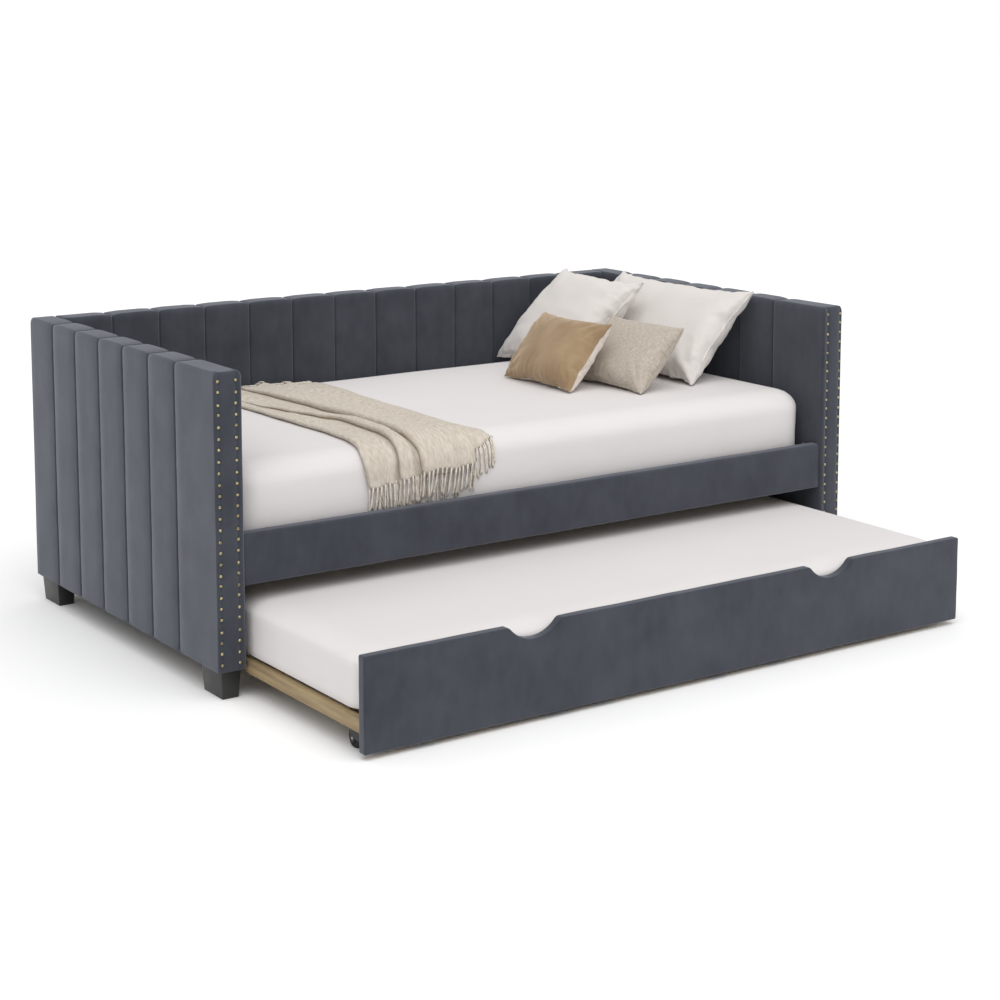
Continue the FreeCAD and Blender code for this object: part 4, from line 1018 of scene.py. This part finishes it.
# Edges and creases of the throw as (distance from its back end, distance from its left edge), and how deep
# each crease is along it, all in millimetres.
THROW_LINES = (
    ((0, 4), (250, 4), (419, 8), (560, 13), (685, 18), (799, 14), (900, 0), (940, -4), (1030, 11)),
    ((0, 36), (250, 52), (386, 78), (502, 111), (592, 136), (778, 128), (925, 104), (977, 101), (1030, 106)),
    ((0, 140), (144, 151), (408, 164), (566, 178), (742, 176), (901, 160), (950, 166), (1030, 175)),
    ((0, 330), (600, 328), (720, 322), (845, 318), (930, 323), (1010, 326)),
    ((0, 384), (56, 390), (163, 390), (315, 374), (453, 371), (533, 374), (657, 366), (764, 364),
     (850, 370), (905, 396), (955, 430)),
)
THROW_FOLDS = (
    ((0, 9), (300, 11), (700, 13), (950, 15)),
    ((0, 0), (180, 1), (420, 11), (700, 17), (950, 19)),
    ((0, 9), (200, 17), (600, 21), (950, 22)),
    ((0, 0), (560, 0), (800, 12), (950, 19)),
)
# Soft ridges in the cloth: height, half width, and places as (distance from the back, from the left edge)
THROW_RIDGES = (
    (12, 17, ((150, 334), (371, 330), (460, 322), (650, 298), (845, 273), (930, 262))),
    (7.5, 20, ((20, 250), (300, 232), (560, 222), (800, 226), (960, 232))),
    (7.5, 12, ((430, 50), (600, 72), (760, 68), (840, 60))),
    (9, 9, ((850, 74), (950, 84), (1010, 76))),
    (7.5, 8, ((560, 24), (610, 40), (660, 58))),
    (6, 10, ((620, 150), (800, 146), (960, 136))),
    (9, 12, ((0, 70), (120, 76), (240, 92))),
    (10.5, 13, ((0, 205), (160, 212), (300, 206))),
    (9, 12, ((0, 292), (110, 300), (220, 318))),
    (7.5, 9, ((640, 330), (700, 318), (800, 296))),
)
# Where each pleat and the flare beside them end, and where the cloth starts, from the mattress's back edge
THROW_HEMS = (1018, 1004, 992, 950)
THROW_START = 8
# a ridge that starts before the first runs out at the back hem, one that ends after the second at the front
RIDGE_FROM_BACK = 20
RIDGE_TO_FRONT = 930


def ridge_height(x, s):
    """Height of the soft ridges at a place, in millimetres."""
    total = 0.0
    for height, half, line in THROW_RIDGES:
        start, end = line[0][0], line[-1][0]
        inside = smooth(s, start - 60, start + 40)
        if end < RIDGE_TO_FRONT:
            if start <= RIDGE_FROM_BACK:
                inside = 1 - smooth(s, end - 80, end + 60)
            else:
                inside *= 1 - smooth(s, end - 30, end + 70)
        total += height * inside * math.exp(-((x - along(line, s)) / half) ** 2)
    return total


def throw_columns():
    """Columns across the throw: the under layer from right to left, then the top layer with its pleats."""
    columns = [("under", 1 - number / 26) for number in range(27)]
    # a fold's rounded edge: how far inside its line, and share of the fold's height
    edge = ((3.0, 0.12), (-1.5, 0.22), (-4.0, 0.42), (-4.6, 0.62), (-3.4, 0.82), (-0.6, 0.95), (4, 1.0))
    for fold in range(3):
        columns += [("edge", fold, *step) for step in edge]
        columns += [("strip", fold, (number / 16) ** 1.1) for number in range(1, 17)]
    columns += [("fall", 3, -offset, share) for offset, share in reversed(edge[:-1])]
    columns += [("flare", number / 9) for number in range(10)]
    return columns


# heights over the sheet of the under layer and of the layer on it, in millimetres
UNDER = 1.6
UPPER = 3.4


def rolled(fold):
    """How fully a fold's edge is rolled: all the way from a height of 9 mm."""
    return min(1, fold / 9)


def throw_place(column, s):
    """Distance from the left edge and height over the sheet of a column of the throw at s, in millimetres."""
    kind, number, *rest = column
    lines = [along(line, s) for line in THROW_LINES]
    folds = [along(line, s) for line in THROW_FOLDS]
    if kind == "under":
        start = lines[0] + 5
        return start + (lines[4] - 14 - start) * number, UNDER
    if kind == "edge":
        offset, share = rest
        base = UPPER if number else UNDER
        return lines[number] + offset * rolled(folds[number]), base + folds[number] * share
    if kind == "strip":
        share, = rest
        last_strip = number == 2
        start = lines[number] + 4 * rolled(folds[number])
        end = lines[number + 1] + (-4 if last_strip else 3 * rolled(folds[number + 1]))
        x = start + (end - start) * share
        height = (UPPER if number else UNDER) + folds[number] * (1 - smooth(share, 0, 0.85))
        taper = smooth(share, 0, 0.12)
        if last_strip:
            height += folds[3] * smooth(share, 0.3, 1)
        else:
            taper *= 1 - smooth(share, 0.9, 1)
        return x, height + ridge_height(x, s) * taper
    if kind == "fall":
        offset, share = rest
        x = lines[3] + offset * rolled(folds[3])
        return x, UPPER + folds[3] * share + ridge_height(x, s) * max(1 - rolled(folds[3]), share)
    start = lines[3] - 3 * rolled(folds[3]) + 1
    x = start + (lines[4] - start) * number
    cling = smooth(number, 0, 0.25) if folds[3] > 1 else 1
    return x, UPPER + ridge_height(x, s) * cling * (1 - smooth(number, 0.8, 1))


def throw_hem(column):
    """Where a column of the throw ends, as a distance from the back end in millimetres."""
    kind = column[0]
    if kind == "under":
        return 935 + 75 * smooth(1 - column[1], 0, 0.4)
    if kind in ("edge", "strip"):
        share = column[2] if kind == "strip" else 0
        return THROW_HEMS[column[1]] + 3 * math.sin(9 * share + column[1])
    if kind == "fall":
        return THROW_HEMS[2] - 14 * (1 - column[3])
    return THROW_HEMS[3] + 12 - 34 * smooth(column[1], 0, 1)


def running_lengths(places):
    """Distances in metres along a row of (x, h) places in millimetres, from the first of them."""
    total = [0.0]
    for (x0, h0), (x1, h1) in zip(places, places[1:]):
        total.append(total[-1] + math.hypot(x1 - x0, h1 - h0) * MM)
    return total


def lay_throw(lay, columns, rows):
    """A grid laid column by column; its UV map is the flat cloth, in metres."""
    bm = bmesh.new()
    bmesh.ops.create_grid(bm, x_segments=len(columns) - 1, y_segments=rows, size=0.5)
    flat = bm.loops.layers.uv.new("UVMap")
    marks = {}
    for vert in bm.verts:
        number = round((vert.co.x + 0.5) * (len(columns) - 1))
        share = vert.co.y + 0.5
        column = columns[number]
        s = THROW_START + (throw_hem(column) - THROW_START) * share
        x, h = throw_place(column, s)
        h += 1.2 * noise.noise(Vector((x / 24, s / 70, number / 60))) if column[0] != "under" else 0
        vert.co = lay.point(lay.left + x * MM, s * MM, max(1.4, h) * MM)
        marks[vert] = (number, s * MM)
    # the cloth's width is measured where the pleats are deepest
    across = running_lengths([throw_place(column, 700) for column in columns])
    for face in bm.faces:
        for loop in face.loops:
            number, s = marks[loop.vert]
            loop[flat].uv = (across[number], s)
    bmesh.ops.recalc_face_normals(bm, faces=bm.faces)
    return bm, across


def add_tassel(bm, lay, start, way, long, rng):
    """One twisted tassel from a place (x, s, h) at the hem, running along s."""
    x, s, h = start
    rings = 7
    made = bmesh.ops.create_cone(bm, cap_ends=True, segments=6, radius1=3.1 * MM, radius2=2.4 * MM,
                                 depth=long, matrix=Matrix.Translation((0, 0, -long / 2)))
    verts = made["verts"]
    geom = verts + list({edge for vert in verts for edge in vert.link_edges})
    geom += list({face for vert in verts for face in vert.link_faces})
    for number in range(1, rings):
        result = bmesh.ops.bisect_plane(bm, geom=geom, dist=1e-6, plane_no=(0, 0, 1),
                                        plane_co=(0, 0, -long * number / rings))
        geom = list(set(geom + result["geom"]))
    verts = {item for item in geom if isinstance(item, bmesh.types.BMVert)}
    slant = rng.uniform(-0.07, 0.07)
    curl = rng.uniform(-5, 5) * MM
    twist = rng.uniform(70, 110)
    lift = rng.uniform(0.6, 3.5) * MM
    for vert in verts:
        fall = -vert.co.z
        share = fall / long
        angle = twist * fall
        wide, deep = vert.co.x * 1.25, vert.co.y * 0.75
        side = wide * math.cos(angle) - deep * math.sin(angle)
        out = wide * math.sin(angle) + deep * math.cos(angle)
        drift = slant * fall + curl * share * share
        level = h * (1 - 0.6 * share) + 2.2 * MM + lift * math.sin(math.pi * share)
        level = max(3 * MM, level)
        vert.co = lay.point(x + side + drift, s + way * (fall - 2 * MM), level + out)


def add_fringe(bm, lay, columns, sizes, rng):
    """Tassels every few millimetres of cloth at both ends of the throw."""
    for way in (-1, 1):
        ends = [throw_hem(column) if way > 0 else THROW_START for column in columns]
        places = [throw_place(column, end) for column, end in zip(columns, ends)]
        across = running_lengths(places)
        for number in range(int(across[-1] / sizes.fringe_step)):
            place = (number + 0.5) * sizes.fringe_step
            index = max(k for k in range(len(across) - 1) if across[k] <= place)
            share = (place - across[index]) / (across[index + 1] - across[index])
            x, h = [(places[index][k] + (places[index + 1][k] - places[index][k]) * share) * MM
                    for k in (0, 1)]
            s = (ends[index] + (ends[index + 1] - ends[index]) * share) * MM
            tassel = sizes.fringe_length * rng.uniform(0.9, 1.05)
            add_tassel(bm, lay, (lay.left + x, s, h), way, tassel, rng)


class BED_OT_throw(bpy.types.Operator):
    """Lay the folded throw over the mattress and hang its fringe"""
    bl_idname = "trundle_bed.throw"
    bl_label = "Throw"

    def execute(self, context):
        sizes = context.scene.bed_bedding
        sheet = bpy.data.objects["daybed_fitted_sheet"]
        lay = ThrowLay(sizes, sheet)
        columns = throw_columns()
        bm, across = lay_throw(lay, columns, 150)
        cloth = make_object("woven_throw", bm, ["throw_wool"], "bed", "throw")
        refine(cloth, "SOLIDIFY", "Cloth", thickness=sizes.throw_thick, offset=0)
        bm = bmesh.new()
        add_fringe(bm, lay, columns, sizes, random.Random(11))
        make_object("throw_fringe", bm, ["throw_yarn"], "bed", "throw")
        return {"FINISHED"}


# ---- parts of the frame that keep their shape -----------------------------------------------------

# nodes whose boards run along the bed; the others run across it
ALONG_X = ("front_rail_board", "back_frame", "slat_ledgers", "trundle_front_board", "trundle_inner_rail",
           "trundle_back_rail", "trundle_slat_ledgers", "trundle_centre_bar", "trundle_corner_blocks")


class BED_OT_frame_finishes(bpy.types.Operator):
    """Give the frame, slats, hardware and casters their finishes and softened edges"""
    bl_idname = "trundle_bed.frame_finishes"
    bl_label = "Frame finishes"

    def execute(self, context):
        for node, piece in frame["nodes"].items():
            if piece.hide_render:
                continue
            slot = SUBPARTS[node]
            if slot.endswith("timber"):
                slot += "_along_x" if node in ALONG_X else "_along_y"
            piece.data.materials.clear()
            piece.data.materials.append(finish(slot))
            # a CAD mesh is loose triangles: they are joined, and then their edges softened
            refine(piece, "WELD", "Join faces", merge_threshold=0.01 * MM)
            low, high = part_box(node)
            width = min(0.8 * MM, 0.2 * min(high - low))
            refine(piece, "BEVEL", "Soft edges", width=width, segments=2, limit_method="ANGLE",
                   angle_limit=math.radians(40), harden_normals=False)
        return {"FINISHED"}


# ---- studio -------------------------------------------------------------------------------------

class BED_OT_studio(bpy.types.Operator):
    """Set up the pale floor, the soft light and the camera"""
    bl_idname = "trundle_bed.studio"
    bl_label = "Studio"

    def execute(self, context):
        scene = context.scene
        studio = scene.bed_studio
        bm = bmesh.new()
        bmesh.ops.create_grid(bm, x_segments=1, y_segments=1, size=60)
        floor = new_piece("studio_floor", bm)
        # background paper, rolled out: pale and dead matt
        made, tree, output, _ = new_material("studio_paper")
        surface(tree, output, {"Base Color": rgba(studio.floor), "Roughness": 0.9,
                               "Specular IOR Level": 0.1})
        floor.data.materials.append(made)

        world = bpy.data.worlds.new("studio_sky")
        world.use_nodes = True
        tree = world.node_tree
        height = add_node(tree, "SeparateXYZ", inputs={
            "Vector": add_node(tree, "TexCoord").outputs["Generated"]}).outputs["Z"]
        level = steeper(tree, height, 0.03, 0.2, studio.horizon, studio.sky)
        tree.links.new(level, tree.nodes["Background"].inputs["Strength"])
        tree.nodes["Background"].inputs["Color"].default_value = (1, 1, 1, 1)
        scene.world = world

        light = bpy.data.lights.new("key_light", "SUN")
        light.energy = studio.key
        light.angle = studio.key_angle
        lamp = bpy.data.objects.new("key_light", light)
        lamp.rotation_euler = Vector(studio.key_from).to_track_quat("Z", "Y").to_euler()
        scene.collection.objects.link(lamp)

        view = bpy.data.cameras.new("studio_camera")
        view.sensor_width = 36
        view.lens = studio.lens
        view.shift_y = studio.rise
        camera = bpy.data.objects.new("studio_camera", view)
        camera.location = studio.camera_place
        camera.rotation_euler = (math.radians(90) - studio.camera_tilt, 0, -studio.camera_turn)
        scene.collection.objects.link(camera)
        scene.camera = camera
        scene.view_settings.view_transform = "Standard"
        return {"FINISHED"}


# ---- add-on -------------------------------------------------------------------------------------

OPERATORS = (BED_OT_arms, BED_OT_back, BED_OT_front_rail, BED_OT_trundle_panel, BED_OT_nailheads,
             BED_OT_legs, BED_OT_mattresses, BED_OT_pillows, BED_OT_throw, BED_OT_frame_finishes,
             BED_OT_studio)


class BED_PT_panel(bpy.types.Panel):
    """The bed's pieces and settings"""
    bl_idname = "BED_PT_panel"
    bl_label = "Trundle Bed"
    bl_space_type = "VIEW_3D"
    bl_region_type = "UI"
    bl_category = "Trundle Bed"

    def draw(self, context):
        for operator in OPERATORS:
            self.layout.operator(operator.bl_idname)
        for name in SETTINGS:
            box = self.layout.box()
            settings = getattr(context.scene, name)
            for key in settings.__annotations__:
                box.prop(settings, key)


def register():
    for settings in SETTINGS.values():
        bpy.utils.register_class(settings)
    for name, settings in SETTINGS.items():
        setattr(bpy.types.Scene, name, PointerProperty(type=settings))
    for operator in OPERATORS:
        bpy.utils.register_class(operator)
    bpy.utils.register_class(BED_PT_panel)


def unregister():
    bpy.utils.unregister_class(BED_PT_panel)
    for operator in reversed(OPERATORS):
        bpy.utils.unregister_class(operator)
    for name in SETTINGS:
        delattr(bpy.types.Scene, name)
    for settings in SETTINGS.values():
        bpy.utils.unregister_class(settings)


def main():
    """Build everything round the frame."""
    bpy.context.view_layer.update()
    register()
    for operator in OPERATORS:
        group, name = operator.bl_idname.split(".")
        getattr(getattr(bpy.ops, group), name)()


if __name__ == "__main__":
    main()
